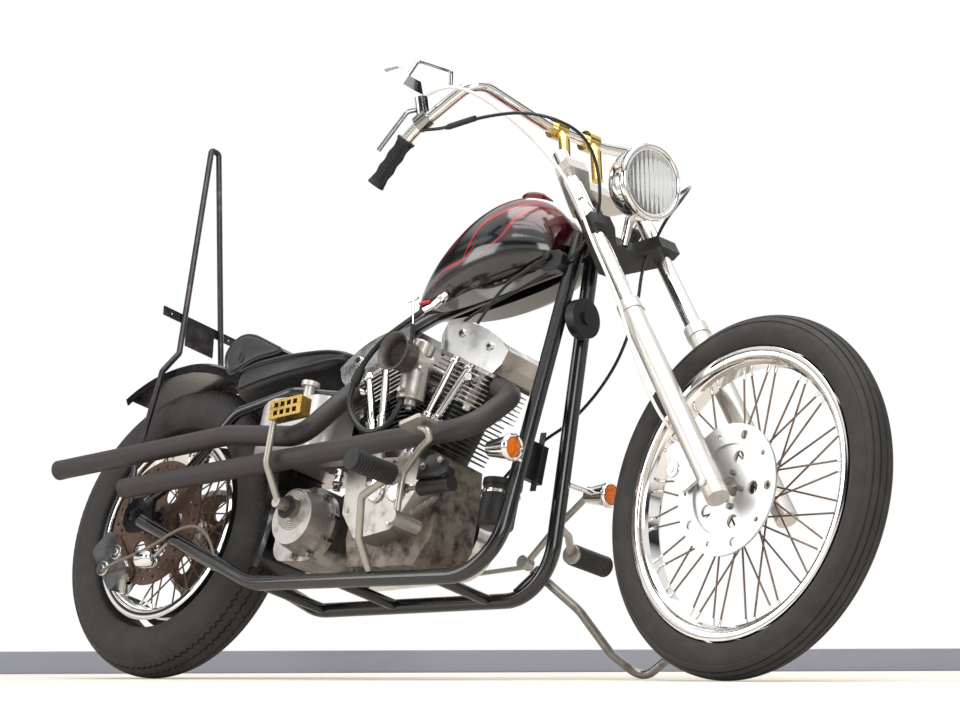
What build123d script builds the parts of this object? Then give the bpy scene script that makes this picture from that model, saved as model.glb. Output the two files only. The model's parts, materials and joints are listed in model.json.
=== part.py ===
from build123d import *

from math import asin, cos, pi, radians, sin, sqrt, tan
import os

# Rigid-frame chopper motorcycle with an open V-twin engine.
# Millimetres, +X forward, +Y to the rider's left, +Z up.
# Every piece is drawn on the upright machine, with the rear wheel's ground
# point at the origin and the steering straight. Steered pieces are then turned
# by STEER, and the whole machine is leaned onto its side stand by PARK.

os.makedirs("parts", exist_ok=True)

# Driving sizes of the running gear
WHEELBASE = 1640.0
RAKE = 37.0
FORK_OFFSET = 56.0
REAR_R = 338.0
REAR_CROWN = 64.0
FRONT_R = 349.0
FRONT_CROWN = 40.0
LEAN = 16.0
STEER_REST = -8.0
NOSE_PITCH = -0.12042
LIFT = 2.480
CENTRE_X = -823.62
CENTRE_Y = -221.39

# Sizes shared by several pieces
TRAIL = (FRONT_R * sin(radians(RAKE)) - FORK_OFFSET) / cos(radians(RAKE))
AXIS_GROUND_X = WHEELBASE + TRAIL
FORK_SPREAD = 92.0
FRAME_TUBE_R = 16.0
RAIL_Y = 84.0
RAIL_Z = 186.0
AXLE_PLATE_Y = 124.0
CRANK = (748.0, 0.0, 340.0)
V_HALF = 22.5
GEARBOX = (478.0, 0.0, 318.0)
CHAIN_Y = 84.0
CHAIN_PITCH = 15.875
REAR_TEETH = 48
FRONT_TEETH = 24

# Local planes: x forward from the steering axis, y left, z up along it
STEM = Plane(
    origin=(AXIS_GROUND_X, 0, 0),
    x_dir=(cos(radians(RAKE)), 0, sin(radians(RAKE))),
    z_dir=(-sin(radians(RAKE)), 0, cos(radians(RAKE))),
)
# A wheel is drawn about its own Z axis, which then points to the right side
REAR_HUB = Plane(origin=(0, 0, REAR_R), x_dir=(1, 0, 0), z_dir=(0, -1, 0))
FRONT_HUB = Plane(origin=(WHEELBASE, 0, FRONT_R), x_dir=(1, 0, 0), z_dir=(0, -1, 0))

PARK = (
    Location((CENTRE_X, CENTRE_Y, LIFT))
    * Location((0, 0, 0), (0, NOSE_PITCH, 0))
    * Location((0, 0, 0), (-LEAN, 0, 0))
)
# The lean alone, for pieces drawn in the frame of the ground
UPRIGHT_TO_GROUND = Location((-CENTRE_X, -CENTRE_Y, 0)) * PARK
STEER = (
    PARK
    * Location((AXIS_GROUND_X, 0, 0))
    * Location((0, 0, 0), (0, -RAKE, 0))
    * Location((0, 0, 0), (0, 0, STEER_REST))
    * Location((0, 0, 0), (0, RAKE, 0))
    * Location((-AXIS_GROUND_X, 0, 0))
)


def hand_over(piece, name, place=PARK):
    """Name a finished piece, set it on the parked machine and write it."""
    piece.part.label = name
    placed = piece.part.moved(place)
    placed.label = name
    export_step(placed, f"parts/{name}.step")


def bar(start, end, radius):
    """A straight round bar from one point to another, in the open part."""
    run = Vector(end) - Vector(start)
    with BuildSketch(Plane(origin=start, z_dir=run)) as section:
        Circle(radius)
    extrude(section.sketch, amount=run.length)


def bent_tube(points, bends, radius):
    """A round tube along straight runs joined by tangent arcs, in the open part."""
    with BuildLine() as route:
        FilletPolyline(*points, radius=bends)
    with BuildSketch(Plane(origin=route.line @ 0, z_dir=route.line % 0)) as section:
        Circle(radius)
    sweep(section.sketch, path=route.wire())


def both_sides(points):
    """The points as given, and mirrored to the other side of the machine."""
    return [points, [(x, -y, z) for x, y, z in points]]


def mirrored_y(point):
    """A point on the other side of the machine."""
    return (point[0], -point[1], point[2])


# Frame
HEAD_LOW = 1118.0
HEAD_HIGH = 1250.0
HEAD_R = 27.0
STEM_R = 14.0

with BuildPart() as frame_neck:
    with BuildSketch(STEM.offset(HEAD_LOW)):
        Circle(HEAD_R)
        Circle(STEM_R + 0.05, mode=Mode.SUBTRACT)
    extrude(amount=HEAD_HIGH - HEAD_LOW)
hand_over(frame_neck, "frame_neck")

BACKBONE_R = 17.0
BACKBONE = [(1120, 0, 915), (1040, 0, 878), (690, 0, 800), (450, 0, 704), (634, 0, 196)]

with BuildPart() as frame_backbone:
    bent_tube(BACKBONE, (100, 200, 46), BACKBONE_R)
    add(frame_neck.part, mode=Mode.SUBTRACT)
hand_over(frame_backbone, "frame_backbone")

CRADLE = [(1096, -22, 932), (1090, -RAIL_Y, RAIL_Z), (400, -102, 178), (10, -AXLE_PLATE_Y, 326)]
CRADLE_BENDS = (118, 160)

with BuildPart() as frame_right_cradle:
    bent_tube(CRADLE, CRADLE_BENDS, FRAME_TUBE_R)
    add(frame_neck.part, mode=Mode.SUBTRACT)
    add(frame_backbone.part, mode=Mode.SUBTRACT)
hand_over(frame_right_cradle, "frame_right_cradle")

with BuildPart() as frame_left_cradle:
    bent_tube([mirrored_y(p) for p in CRADLE], CRADLE_BENDS, FRAME_TUBE_R)
    add(frame_neck.part, mode=Mode.SUBTRACT)
    add(frame_backbone.part, mode=Mode.SUBTRACT)
hand_over(frame_left_cradle, "frame_left_cradle")

STAY = [(476, -18, 628), (400, -98, 614), (232, -104, 574), (120, -112, 440), (14, -AXLE_PLATE_Y, 372)]

STAY_BENDS = (40, 60, 60)
STAY_R = 12.0
AXLE_PLATE_THICK = 8.0
AXLE_R = 9.0

# Stays, axle plates and the rear axle: the plates' outline goes around the axle slot
with BuildPart() as stay_room:
    for side in both_sides(STAY):
        bent_tube(side, STAY_BENDS, STAY_R + 3)

with BuildPart() as frame_stays:
    for side in both_sides(STAY):
        bent_tube(side, STAY_BENDS, STAY_R)
    for y in (-AXLE_PLATE_Y, AXLE_PLATE_Y):
        with BuildSketch(Plane.XZ.offset(-y - AXLE_PLATE_THICK / 2)) as plate:
            with BuildLine():
                Polyline((52, 300), (-30, 300), (-52, 322), (-52, 354), (-30, 378), (40, 386), (52, 300))
            make_face()
            fillet(plate.vertices(), 8)
            with Locations((-16, REAR_R)):
                SlotOverall(48, 2 * AXLE_R + 1, mode=Mode.SUBTRACT)
        extrude(amount=AXLE_PLATE_THICK)
    bar((0, -146, REAR_R), (0, 146, REAR_R), AXLE_R)
    for y in (-140, 128.2):
        with BuildSketch(Plane.XZ.offset(-y - 11)):
            with Locations((0, REAR_R)):
                RegularPolygon(15, 6)
        extrude(amount=11)
    add(frame_right_cradle.part, mode=Mode.SUBTRACT)
    add(frame_left_cradle.part, mode=Mode.SUBTRACT)
    add(frame_backbone.part, mode=Mode.SUBTRACT)
hand_over(frame_stays, "frame_stays")

with BuildPart() as frame_crossmembers:
    for x, y, z in ((425, 100, 179), (650, 94, 182), (930, 86, 185)):
        bar((x, -y, z), (x, y, z), 12)
    add(frame_right_cradle.part, mode=Mode.SUBTRACT)
    add(frame_left_cradle.part, mode=Mode.SUBTRACT)
    add(frame_backbone.part, mode=Mode.SUBTRACT)
hand_over(frame_crossmembers, "frame_crossmembers")

# Tank: sections across the machine, from the rear tip to the nose
# columns: x, bottom z, shoulder z, top z, half width at the widest, half width of the bottom
TANK_TUNNEL = 20.0
CAP_R = 34.0
CAP_Z = 1034.0
TANK_SECTIONS = [
    (664, 800, 814, 832, 26, 16),
    (735, 798, 860, 910, 76, 46),
    (840, 810, 896, 998, 112, 72),
    (940, 830, 912, 1034, 117, 74),
    (1015, 850, 914, 1008, 96, 58),
    (1058, 872, 908, 956, 56, 34),
]

with BuildPart() as fuel_tank:
    for x, low, middle, top, wide, foot in TANK_SECTIONS:
        with BuildSketch(Plane(origin=(x, 0, 0), x_dir=(0, 1, 0), z_dir=(1, 0, 0))):
            with BuildLine():
                Line((-foot, low), (foot, low))
                ThreePointArc((foot, low), (wide * 0.94, (low + middle) / 2 - 6), (wide, middle))
                ThreePointArc((wide, middle), (wide * 0.74, middle + (top - middle) * 0.70), (0, top))
                ThreePointArc((0, top), (-wide * 0.74, middle + (top - middle) * 0.70), (-wide, middle))
                ThreePointArc((-wide, middle), (-wide * 0.94, (low + middle) / 2 - 6), (-foot, low))
            make_face()
    loft()
    with BuildSketch(Plane.XZ.offset(-TANK_TUNNEL)):
        with BuildLine():
            Polyline((600, 700), (1100, 700), (1100, 936), (1030, 902), (690, 822), (600, 790), close=True)
        make_face()
    extrude(amount=2 * TANK_TUNNEL, mode=Mode.SUBTRACT)
    with BuildSketch(Plane.XY.offset(CAP_Z - 20)):
        with Locations((930, 0)):
            Circle(CAP_R)
    extrude(amount=34)
    chamfer(fuel_tank.faces().sort_by(Axis.Z)[-1].edges(), 6)
hand_over(fuel_tank, "fuel_tank")

# Seat and pillion pad: side outlines, with the fender's room taken out below
FENDER_ROOM_R = 386.0
FENDER_ROOM_Y = 77.0
with BuildPart() as fender_room:
    with BuildSketch(Plane.XZ.offset(-FENDER_ROOM_Y)):
        with Locations((0, REAR_R)):
            Circle(FENDER_ROOM_R)
    extrude(amount=2 * FENDER_ROOM_Y)

SEAT_HALF = 112.0
PAD_HALF = 108.0
with BuildPart() as seat:
    with BuildSketch(Plane.XZ.offset(-SEAT_HALF)):
        with BuildLine():
            Polyline((204, 604), (290, 620), (420, 652), (486, 700), (484, 724), (420, 724), (330, 709), (240, 701))
            Polyline((240, 701), (176, 660), (204, 604))
        make_face()
    extrude(amount=2 * SEAT_HALF)
    add(fender_room.part, mode=Mode.SUBTRACT)
    with BuildSketch(Plane.XZ.offset(-BACKBONE_R - 2)):
        with BuildLine():
            Polyline((380, 640), (380, 700), (440, 722), (520, 752), (520, 640), close=True)
        make_face()
    extrude(amount=2 * (BACKBONE_R + 2), mode=Mode.SUBTRACT)
    with BuildSketch(Plane.XZ.offset(-PAD_HALF)):
        with BuildLine():
            Polyline((176, 659), (240, 700), (330, 708), (300, 730), (222, 764), (166, 754), (140, 718), (150, 686))
            Line((150, 686), (176, 659))
        make_face()
    extrude(amount=2 * PAD_HALF)
    add(fender_room.part, mode=Mode.SUBTRACT)
hand_over(seat, "seat")

# Oil tank: horseshoe plan around the seat post, hollowed round the fender
OIL_HALF = 112.0
OIL_FRONT = 530.0
OIL_LOW = 462.0
OIL_HIGH = 596.0
OIL_CAP = (452.0, -100.0)
with BuildPart() as oil_tank:
    with BuildSketch(Plane.XY.offset(OIL_LOW)):
        with Locations(((300 + OIL_FRONT) / 2, 0)):
            RectangleRounded(OIL_FRONT - 300, 2 * OIL_HALF, 44)
    extrude(amount=OIL_HIGH - OIL_LOW)
    with BuildSketch(Plane.XY.offset(OIL_LOW)):
        with Locations((OIL_FRONT, 0)):
            Rectangle(2 * (OIL_FRONT - 440), 46)
    extrude(amount=OIL_HIGH - OIL_LOW, mode=Mode.SUBTRACT)
    add(fender_room.part, mode=Mode.SUBTRACT)
    add(stay_room.part, mode=Mode.SUBTRACT)
    with BuildSketch(Plane(origin=(OIL_CAP[0], OIL_CAP[1], OIL_HIGH))):
        Circle(12)
    extrude(amount=24)
    with BuildSketch(Plane(origin=(OIL_CAP[0], OIL_CAP[1], OIL_HIGH + 24))):
        Circle(20)
    extrude(amount=10)
hand_over(oil_tank, "oil_tank")

# Rear fender: a rolled channel about the rear wheel
FENDER_R = 384.0
FENDER_WALL = 3.0
FENDER_HALF = 74.0
FENDER_LIP = 24.0
FENDER_FRONT = -17.0
FENDER_SWEEP = 142.0

with BuildPart() as rear_fender:
    with BuildSketch(Plane.XZ):
        with BuildLine():
            Polyline(
                (FENDER_R - FENDER_LIP, -FENDER_HALF),
                (FENDER_R - 6, -FENDER_HALF),
                (FENDER_R, -FENDER_HALF + 8),
                (FENDER_R, FENDER_HALF - 8),
                (FENDER_R - 6, FENDER_HALF),
                (FENDER_R - FENDER_LIP, FENDER_HALF),
                (FENDER_R - FENDER_LIP, FENDER_HALF - FENDER_WALL),
                (FENDER_R - 8, FENDER_HALF - FENDER_WALL),
                (FENDER_R - FENDER_WALL, FENDER_HALF - 10),
                (FENDER_R - FENDER_WALL, -FENDER_HALF + 10),
                (FENDER_R - 8, -FENDER_HALF + FENDER_WALL),
                (FENDER_R - FENDER_LIP, -FENDER_HALF + FENDER_WALL),
                close=True,
            )
        make_face()
    revolve(axis=Axis.Z, revolution_arc=FENDER_SWEEP)
hand_over(rear_fender, "rear_fender", PARK * REAR_HUB.location * Location((0, 0, 0), (0, 0, FENDER_FRONT)))

# Sissy bar: one bent rod over the fender
SISSY = [
    (-50, -118, 366),
    (-94, -98, 470),
    (-80, -94, 700),
    (-70, -66, 754),
    (-198, -12, 1308),
    (-198, 12, 1308),
    (-70, 66, 754),
    (-80, 94, 700),
    (-94, 98, 470),
    (-50, 118, 366),
]

PLATE_BRACKET = Plane(origin=(-98, 0, 846), x_dir=(0, 1, 0), z_dir=(-0.974, 0, -0.225))
PLATE_HOLE_PCD = 180.0
PLATE_HOLE_R = 3.5

with BuildPart() as sissy_bar:
    bent_tube(SISSY, (60, 14, 14, 9, 9, 14, 14, 60), 7.0)
    with BuildSketch(PLATE_BRACKET):
        Rectangle(230, 22)
        with Locations((0, 34)):
            Rectangle(86, 60)
        with Locations((-PLATE_HOLE_PCD / 2, 0), (PLATE_HOLE_PCD / 2, 0)):
            Circle(PLATE_HOLE_R, mode=Mode.SUBTRACT)
    extrude(amount=4)
hand_over(sissy_bar, "sissy_bar")

# Engine
CASE_R = 122.0

with BuildPart() as crankcase:
    with BuildSketch(Plane.XZ.offset(-62)):
        with Locations((CRANK[0], CRANK[2])):
            Circle(CASE_R)
        with BuildLine():
            Polyline(
                (CRANK[0] - 100, CRANK[2] - 120),
                (CRANK[0] + 92, CRANK[2] - 120),
                (CRANK[0] + 128, CRANK[2] - 60),
                (CRANK[0] + 124, CRANK[2] + 60),
                (CRANK[0] + 112.8, CRANK[2] + 115.6),
                (CRANK[0], CRANK[2] + 162.4),
                (CRANK[0] - 112.8, CRANK[2] + 115.6),
                (CRANK[0] - 124, CRANK[2] + 60),
                (CRANK[0] - 124, CRANK[2] - 60),
                close=True,
            )
        make_face()
    extrude(amount=124)
    with BuildSketch(Plane.XZ.offset(62)) as outline:
        with BuildLine():
            Polyline(
                (CRANK[0] - 104, CRANK[2] + 96),
                (CRANK[0] + 104, CRANK[2] + 96),
                (CRANK[0] + 118, CRANK[2] + 30),
                (CRANK[0] + 62, CRANK[2] - 60),
                (CRANK[0] - 40, CRANK[2] - 78),
                (CRANK[0] - 92, CRANK[2] - 20),
                close=True,
            )
        make_face()
        fillet(outline.vertices(), 14)
    extrude(amount=53)
hand_over(crankcase, "crankcase")

CYL_BASE = 150.0
CYL_TOP = 262.0
HEAD_TOP = 345.0
FIN_PITCH = 10.0
FIN_THICK = 3.0

TILTS = (V_HALF, -V_HALF)


def cylinder_plane(tilt, height):
    """The plane across a cylinder's axis at a distance from the crank."""
    return Plane(
        origin=(
            CRANK[0] + height * sin(radians(tilt)),
            CRANK[1],
            CRANK[2] + height * cos(radians(tilt)),
        ),
        x_dir=(cos(radians(tilt)), 0, -sin(radians(tilt))),
        z_dir=(sin(radians(tilt)), 0, cos(radians(tilt))),
    )


# Pushrod tubes: foot and top of each, on the right side
# columns: tilt of the cylinder, foot x from the crank, top along the rocker box
PUSHRODS = [
    (V_HALF, 38, -30),
    (V_HALF, 56, 24),
    (-V_HALF, -38, 30),
    (-V_HALF, -56, -24),
]
PUSHROD_FOOT = (-92.0, 443.0)
PUSHROD_TOP_Y = -66.0


def pushrod_bars(thin, thick):
    """The four telescopic tubes, thicker over their lower part, in the open part."""
    for tilt, foot_x, top_u in PUSHRODS:
        foot = Vector(CRANK[0] + foot_x, *PUSHROD_FOOT)
        top = cylinder_plane(tilt, HEAD_TOP - 0.5).from_local_coords((top_u, PUSHROD_TOP_Y, 0))
        waist = foot + (top - foot) * 0.42
        bar(tuple(foot), tuple(top), thin)
        bar(tuple(foot), tuple(waist), thick)


with BuildPart() as pushrod_tubes:
    pushrod_bars(8.5, 11.0)
hand_over(pushrod_tubes, "pushrod_tubes")

with BuildPart() as pushrod_room:
    pushrod_bars(11.5, 13.0)

with BuildPart() as cylinders:
    for tilt in TILTS:
        with BuildSketch(cylinder_plane(tilt, CYL_BASE + 0.2)):
            Circle(52)
        extrude(amount=CYL_TOP - CYL_BASE - 0.2)
        for fin in range(10):
            with BuildSketch(cylinder_plane(tilt, CYL_BASE + 12 + fin * FIN_PITCH)):
                RectangleRounded(140, 140, 34)
            extrude(amount=FIN_THICK)
    add(pushrod_room.part, mode=Mode.SUBTRACT)
hand_over(cylinders, "cylinders")

with BuildPart() as heads:
    for tilt in TILTS:
        with BuildSketch(cylinder_plane(tilt, CYL_TOP + 0.2)):
            RectangleRounded(112, 112, 20)
        extrude(amount=HEAD_TOP - CYL_TOP)
        for fin in range(7):
            with BuildSketch(cylinder_plane(tilt, CYL_TOP + 4 + fin * FIN_PITCH)):
                RectangleRounded(168, 146, 26)
            extrude(amount=FIN_THICK)
        with BuildSketch(cylinder_plane(tilt, HEAD_TOP - 8)):
            RectangleRounded(186, 134, 16)
        extrude(amount=8)
    add(pushrod_room.part, mode=Mode.SUBTRACT)
hand_over(heads, "heads")

ROCKER_LONG = 209.0
with BuildPart() as rocker_boxes:
    for tilt in TILTS:
        level = cylinder_plane(tilt, HEAD_TOP + 0.5)
        side = Plane(origin=level.origin + Vector(0, 66, 0), x_dir=level.x_dir, z_dir=(0, -1, 0))
        with BuildSketch(side):
            with BuildLine():
                Line((-ROCKER_LONG / 2, 26), (-ROCKER_LONG / 2 + 14, 0))
                Line((-ROCKER_LONG / 2 + 14, 0), (ROCKER_LONG / 2 - 14, 0))
                Line((ROCKER_LONG / 2 - 14, 0), (ROCKER_LONG / 2, 26))
                Line((ROCKER_LONG / 2, 26), (ROCKER_LONG / 2, 56))
                ThreePointArc((ROCKER_LONG / 2, 56), (0, 78), (-ROCKER_LONG / 2, 56))
                Line((-ROCKER_LONG / 2, 56), (-ROCKER_LONG / 2, 26))
            make_face()
        extrude(amount=132)
hand_over(rocker_boxes, "rocker_boxes")

INTAKE_X = 785.0
INTAKE_Z = 645.0
CARB_IN = -92.0
CARB_OUT = -140.0
BOWL_Y = -110.0
BOWL_R = 29.0
with BuildPart() as carburettor:
    bar((CRANK[0], 0, INTAKE_Z + 3), (CRANK[0], -76, INTAKE_Z + 3), 21)
    with BuildSketch(Plane(origin=(CRANK[0], -76, INTAKE_Z + 3), z_dir=(0, -1, 0))) as inner:
        Circle(24)
    with BuildSketch(Plane(origin=(INTAKE_X, CARB_IN, INTAKE_Z), z_dir=(0, -1, 0))) as outer:
        Circle(28)
    loft([inner.sketch.face(), outer.sketch.face()])
    bar((INTAKE_X, CARB_IN, INTAKE_Z), (INTAKE_X, CARB_OUT, INTAKE_Z), 30)
    bar((INTAKE_X, BOWL_Y, INTAKE_Z - 84), (INTAKE_X, BOWL_Y, INTAKE_Z), BOWL_R)
    bar((INTAKE_X, BOWL_Y, INTAKE_Z - 96), (INTAKE_X, BOWL_Y, INTAKE_Z - 80), 14)
hand_over(carburettor, "carburettor")

BELL_DEEP = 46.0
with BuildPart() as intake_bell:
    with BuildSketch(Plane(origin=(INTAKE_X, CARB_OUT - BELL_DEEP, INTAKE_Z))):
        with BuildLine():
            Line((25, BELL_DEEP), (33, BELL_DEEP))
            Line((33, BELL_DEEP), (34, 22))
            ThreePointArc((34, 22), (37, 8), (43, 0))
            Line((43, 0), (40, 0))
            ThreePointArc((40, 0), (33.5, 9), (30, 22))
            Line((30, 22), (25, BELL_DEEP))
        make_face()
    revolve(axis=Axis((INTAKE_X, CARB_OUT, INTAKE_Z), (0, 1, 0)))
hand_over(intake_bell, "intake_bell")

# Gearbox, kick cover and kick starter
KICK = (518.0, 330.0)
with BuildPart() as gearbox:
    with BuildSketch(Plane.XZ.offset(-58)):
        with Locations((GEARBOX[0], GEARBOX[2])):
            RectangleRounded(144, 160, 34)
    extrude(amount=124)
    with BuildSketch(Plane.XZ.offset(66)):
        with Locations((KICK[0], KICK[1] - 18)):
            Circle(80)
    extrude(amount=12)
    with BuildSketch(Plane.XZ.offset(78)):
        with Locations((KICK[0], KICK[1] - 18)):
            Circle(70)
    extrude(amount=52, taper=12)
    bar((KICK[0], -125, KICK[1]), (KICK[0], -146, KICK[1]), 22)
hand_over(gearbox, "gearbox")

PEDAL_SLOTS = 4
with BuildPart() as kick_starter:
    bar((KICK[0], -146.2, KICK[1]), (KICK[0], -182, KICK[1]), 12)
    bent_tube([(KICK[0], -174, KICK[1]), (516, -228, 400), (524, -240, 508)], (30,), 7.5)
    with BuildSketch(Plane(origin=(568, -240, 512), x_dir=(1, 0, 0.1), z_dir=(0, -1, 0)).offset(-14)):
        RectangleRounded(96, 42, 3)
        with GridLocations(19, 18, PEDAL_SLOTS, 2):
            Rectangle(12, 11, mode=Mode.SUBTRACT)
    extrude(amount=28)
hand_over(kick_starter, "kick_starter")

# Primary cover on the left: two round ends and straight sides
PRIMARY_IN = 96.0
PRIMARY_OUT = 168.0
with BuildPart() as primary_cover:
    with BuildSketch(Plane.XZ.offset(-PRIMARY_IN)):
        with BuildLine():
            Line((CRANK[0] + 10, CRANK[2] + 92), (470, 345 + 112))
            ThreePointArc((470, 345 + 112), (470 - 112, 345), (470, 345 - 112))
            Line((470, 345 - 112), (CRANK[0] + 10, CRANK[2] - 92))
            ThreePointArc((CRANK[0] + 10, CRANK[2] - 92), (CRANK[0] + 102, CRANK[2]), (CRANK[0] + 10, CRANK[2] + 92))
        make_face()
    extrude(amount=-(PRIMARY_OUT - PRIMARY_IN))
    fillet(primary_cover.faces().sort_by(Axis.Y)[-1].edges(), 14)
    with BuildSketch(Plane.XZ.offset(-PRIMARY_OUT)):
        with Locations((470, 345)):
            Circle(62)
    extrude(amount=-8)
hand_over(primary_cover, "primary_cover")

# Exhausts: the upper pipe from the rear cylinder, the lower from the front one
PIPE_R = 22.2
PIPE_WALL = 1.8
UPPER_PIPE = [(566, -74, 610), (592, -132, 560), (560, -188, 470), (330, -190, 486), (-236, -190, 437)]
LOWER_PIPE = [(968, -40, 602), (1066, -96, 556), (1062, -188, 458), (840, -190, 444), (18, -190, 381)]
with BuildPart() as exhausts:
    bent_tube(UPPER_PIPE, (50, 50, 70), PIPE_R)
    bent_tube(LOWER_PIPE, (60, 60, 80), PIPE_R)
    add(heads.part, mode=Mode.SUBTRACT)
    add(frame_right_cradle.part, mode=Mode.SUBTRACT)
hand_over(exhausts, "exhausts")

with BuildPart() as oil_filter:
    with BuildSketch(Plane(origin=(1000, -10, 306))):
        Circle(38)
    extrude(amount=88)
    fillet(oil_filter.faces().sort_by(Axis.Z)[0].edges(), 10)
    with BuildSketch(Plane(origin=(1000, -10, 394))):
        Circle(41)
    extrude(amount=12)
hand_over(oil_filter, "oil_filter")

with BuildPart() as regulator:
    with BuildSketch(Plane(origin=(1046, 8, 452), z_dir=(1, 0, 0))):
        Rectangle(80, 60)
    extrude(amount=16)
    for row in range(7):
        with BuildSketch(Plane(origin=(1062, 8, 428 + row * 8), z_dir=(1, 0, 0))):
            Rectangle(76, 3)
        extrude(amount=14)
hand_over(regulator, "regulator")

with BuildPart() as horn:
    with BuildSketch(Plane(origin=(1114, 0, 752), z_dir=(1, 0, 0.1))):
        Circle(42)
    extrude(amount=22)
    with BuildSketch(Plane(origin=(1136, 0, 754), z_dir=(1, 0, 0.1))):
        Circle(14)
    extrude(amount=6)
    add(frame_right_cradle.part, mode=Mode.SUBTRACT)
    add(frame_left_cradle.part, mode=Mode.SUBTRACT)
hand_over(horn, "horn")

# Turn signals: bullets beside the down tubes
# columns: x, y, z of the lens rim, and the bullet's length
SIGNALS = [
    (1150, -150, 425, 62),
    (1150, 150, 425, 62),
]
with BuildPart() as turn_signals:
    for x, y, z, length in SIGNALS:
        with BuildSketch(Plane(origin=(x, y, z), z_dir=(-1, 0, 0))):
            Circle(26)
        extrude(amount=length, taper=9)
        side = 1 if y > 0 else -1
        bar((x - 30, y, z), (1100, side * 76, z), 6)
    add(frame_right_cradle.part, mode=Mode.SUBTRACT)
    add(frame_left_cradle.part, mode=Mode.SUBTRACT)
hand_over(turn_signals, "turn_signals")

# Footpegs and their bent brackets, with the shift lever on the left
# columns: the bracket's route, and the peg's inner and outer end
PEGS = [
    ([(760, -104, 198), (764, -152, 250), (790, -192, 326), (904, -230, 350)], (911, -226, 352), (909, -344, 348)),
    ([(1091, 74, 338), (1054, 150, 340), (1020, 204, 318)], (1022, 198, 318), (1016, 312, 326)),
]
SHIFT = [(905, 196, 300), (960, 204, 376), (1040, 206, 452)]
SHIFT_ROD = [(905, 190, 290), (560, 190, 262)]
with BuildPart() as footpegs:
    for route, inner, outer in PEGS:
        bent_tube(route, (26,) * (len(route) - 2), 8)
        bar(inner, outer, 20)
    bent_tube(SHIFT, (40,), 7)
    bar((1040, 196, 452), (1034, 286, 458), 11)
    bar((SHIFT[0][0], 180, SHIFT[0][2]), (SHIFT[0][0], 206, SHIFT[0][2]), 14)
    bar(SHIFT_ROD[0], SHIFT_ROD[1], 5)
    add(frame_right_cradle.part, mode=Mode.SUBTRACT)
    add(frame_left_cradle.part, mode=Mode.SUBTRACT)
hand_over(footpegs, "footpegs")

PEDAL_ROUTE = [(902, -190, 276), (902, -196, 366), (985, -240, 402), (1044, -265, 420), (1000, -266, 436)]
with BuildPart() as brake_pedal:
    bent_tube(PEDAL_ROUTE, (30, 40, 12), 7)
    with BuildSketch(Plane(origin=(996, -266, 438), z_dir=(-0.3, 0, 1))):
        RectangleRounded(58, 60, 6)
    extrude(amount=8)
    bar((902, -130, 276), (902, -206, 276), 15)
hand_over(brake_pedal, "brake_pedal")

with BuildPart() as brake_master:
    bar((930, -166, 345), (1016, -166, 352), 16)
    with BuildSketch(Plane(origin=(965, -166, 360))):
        RectangleRounded(80, 36, 8)
    extrude(amount=26)
hand_over(brake_master, "brake_master")

# Drive chain: a side plate loop on each side of the sprockets, tied by pins along both runs
REAR_PITCH_R = CHAIN_PITCH / (2 * sin(pi / REAR_TEETH))
FRONT_PITCH_R = CHAIN_PITCH / (2 * sin(pi / FRONT_TEETH))
SPROCKET_X = 470.0
SPROCKET_Z = 345.0


def chain_band(widen):
    """Outline of the loop at a distance outside the pitch line, in the open sketch."""
    big = REAR_PITCH_R + widen
    small = FRONT_PITCH_R + widen
    reach = sqrt(SPROCKET_X**2 + (SPROCKET_Z - REAR_R) ** 2)
    lift = asin((SPROCKET_Z - REAR_R) / reach)
    close = asin((big - small) / reach)
    up = pi / 2 - close + lift
    down = -pi / 2 + close + lift
    top_rear = (big * cos(up), REAR_R + big * sin(up))
    top_front = (SPROCKET_X + small * cos(up), SPROCKET_Z + small * sin(up))
    low_rear = (big * cos(down), REAR_R + big * sin(down))
    low_front = (SPROCKET_X + small * cos(down), SPROCKET_Z + small * sin(down))
    with BuildLine() as loop:
        Line(top_rear, top_front)
        ThreePointArc(top_front, (SPROCKET_X + small * cos(lift), SPROCKET_Z + small * sin(lift)), low_front)
        Line(low_front, low_rear)
        ThreePointArc(low_rear, (-big * cos(lift), REAR_R - big * sin(lift)), top_rear)
    return make_face(loop.edges(), mode=Mode.PRIVATE)


with BuildPart() as drive_chain:
    for y in (CHAIN_Y - 9, CHAIN_Y + 6):
        with BuildSketch(Plane.XZ.offset(-y)):
            add(chain_band(7))
            add(chain_band(-7), mode=Mode.SUBTRACT)
        extrude(amount=-3)
    for step in range(8):
        x = 150.0 + step * 2 * CHAIN_PITCH
        for run in (1, -1):
            drop = (REAR_PITCH_R - FRONT_PITCH_R) / SPROCKET_X * x
            z = REAR_R + (SPROCKET_Z - REAR_R) * x / SPROCKET_X + run * (REAR_PITCH_R - drop)
            bar((x, CHAIN_Y - 7, z), (x, CHAIN_Y + 7, z), 4)
hand_over(drive_chain, "drive_chain")

with BuildPart() as rear_brake:
    with BuildSketch(Plane.XZ.offset(56)):
        with Locations(Location((-100, 244), -46.0)):
            RectangleRounded(140, 72, 16)
    extrude(amount=46)
    with BuildSketch(Plane.XZ.offset(69)):
        with Locations((0, REAR_R)):
            Circle(152)
    extrude(amount=11, mode=Mode.SUBTRACT)
hand_over(rear_brake, "rear_brake")

# Steering group
TREE_LOW = 1098.0
FRONT_AXLE_R = 8.0
TREE_HIGH = 1264.0
FORK_TUBE_R = 17.5
FORK_TOP = 1322.0
SLIDER_TOP = 852.0
AXLE_UP = -WHEELBASE * sin(radians(RAKE)) + FRONT_R * cos(radians(RAKE)) + AXIS_GROUND_X * sin(radians(RAKE))


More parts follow.
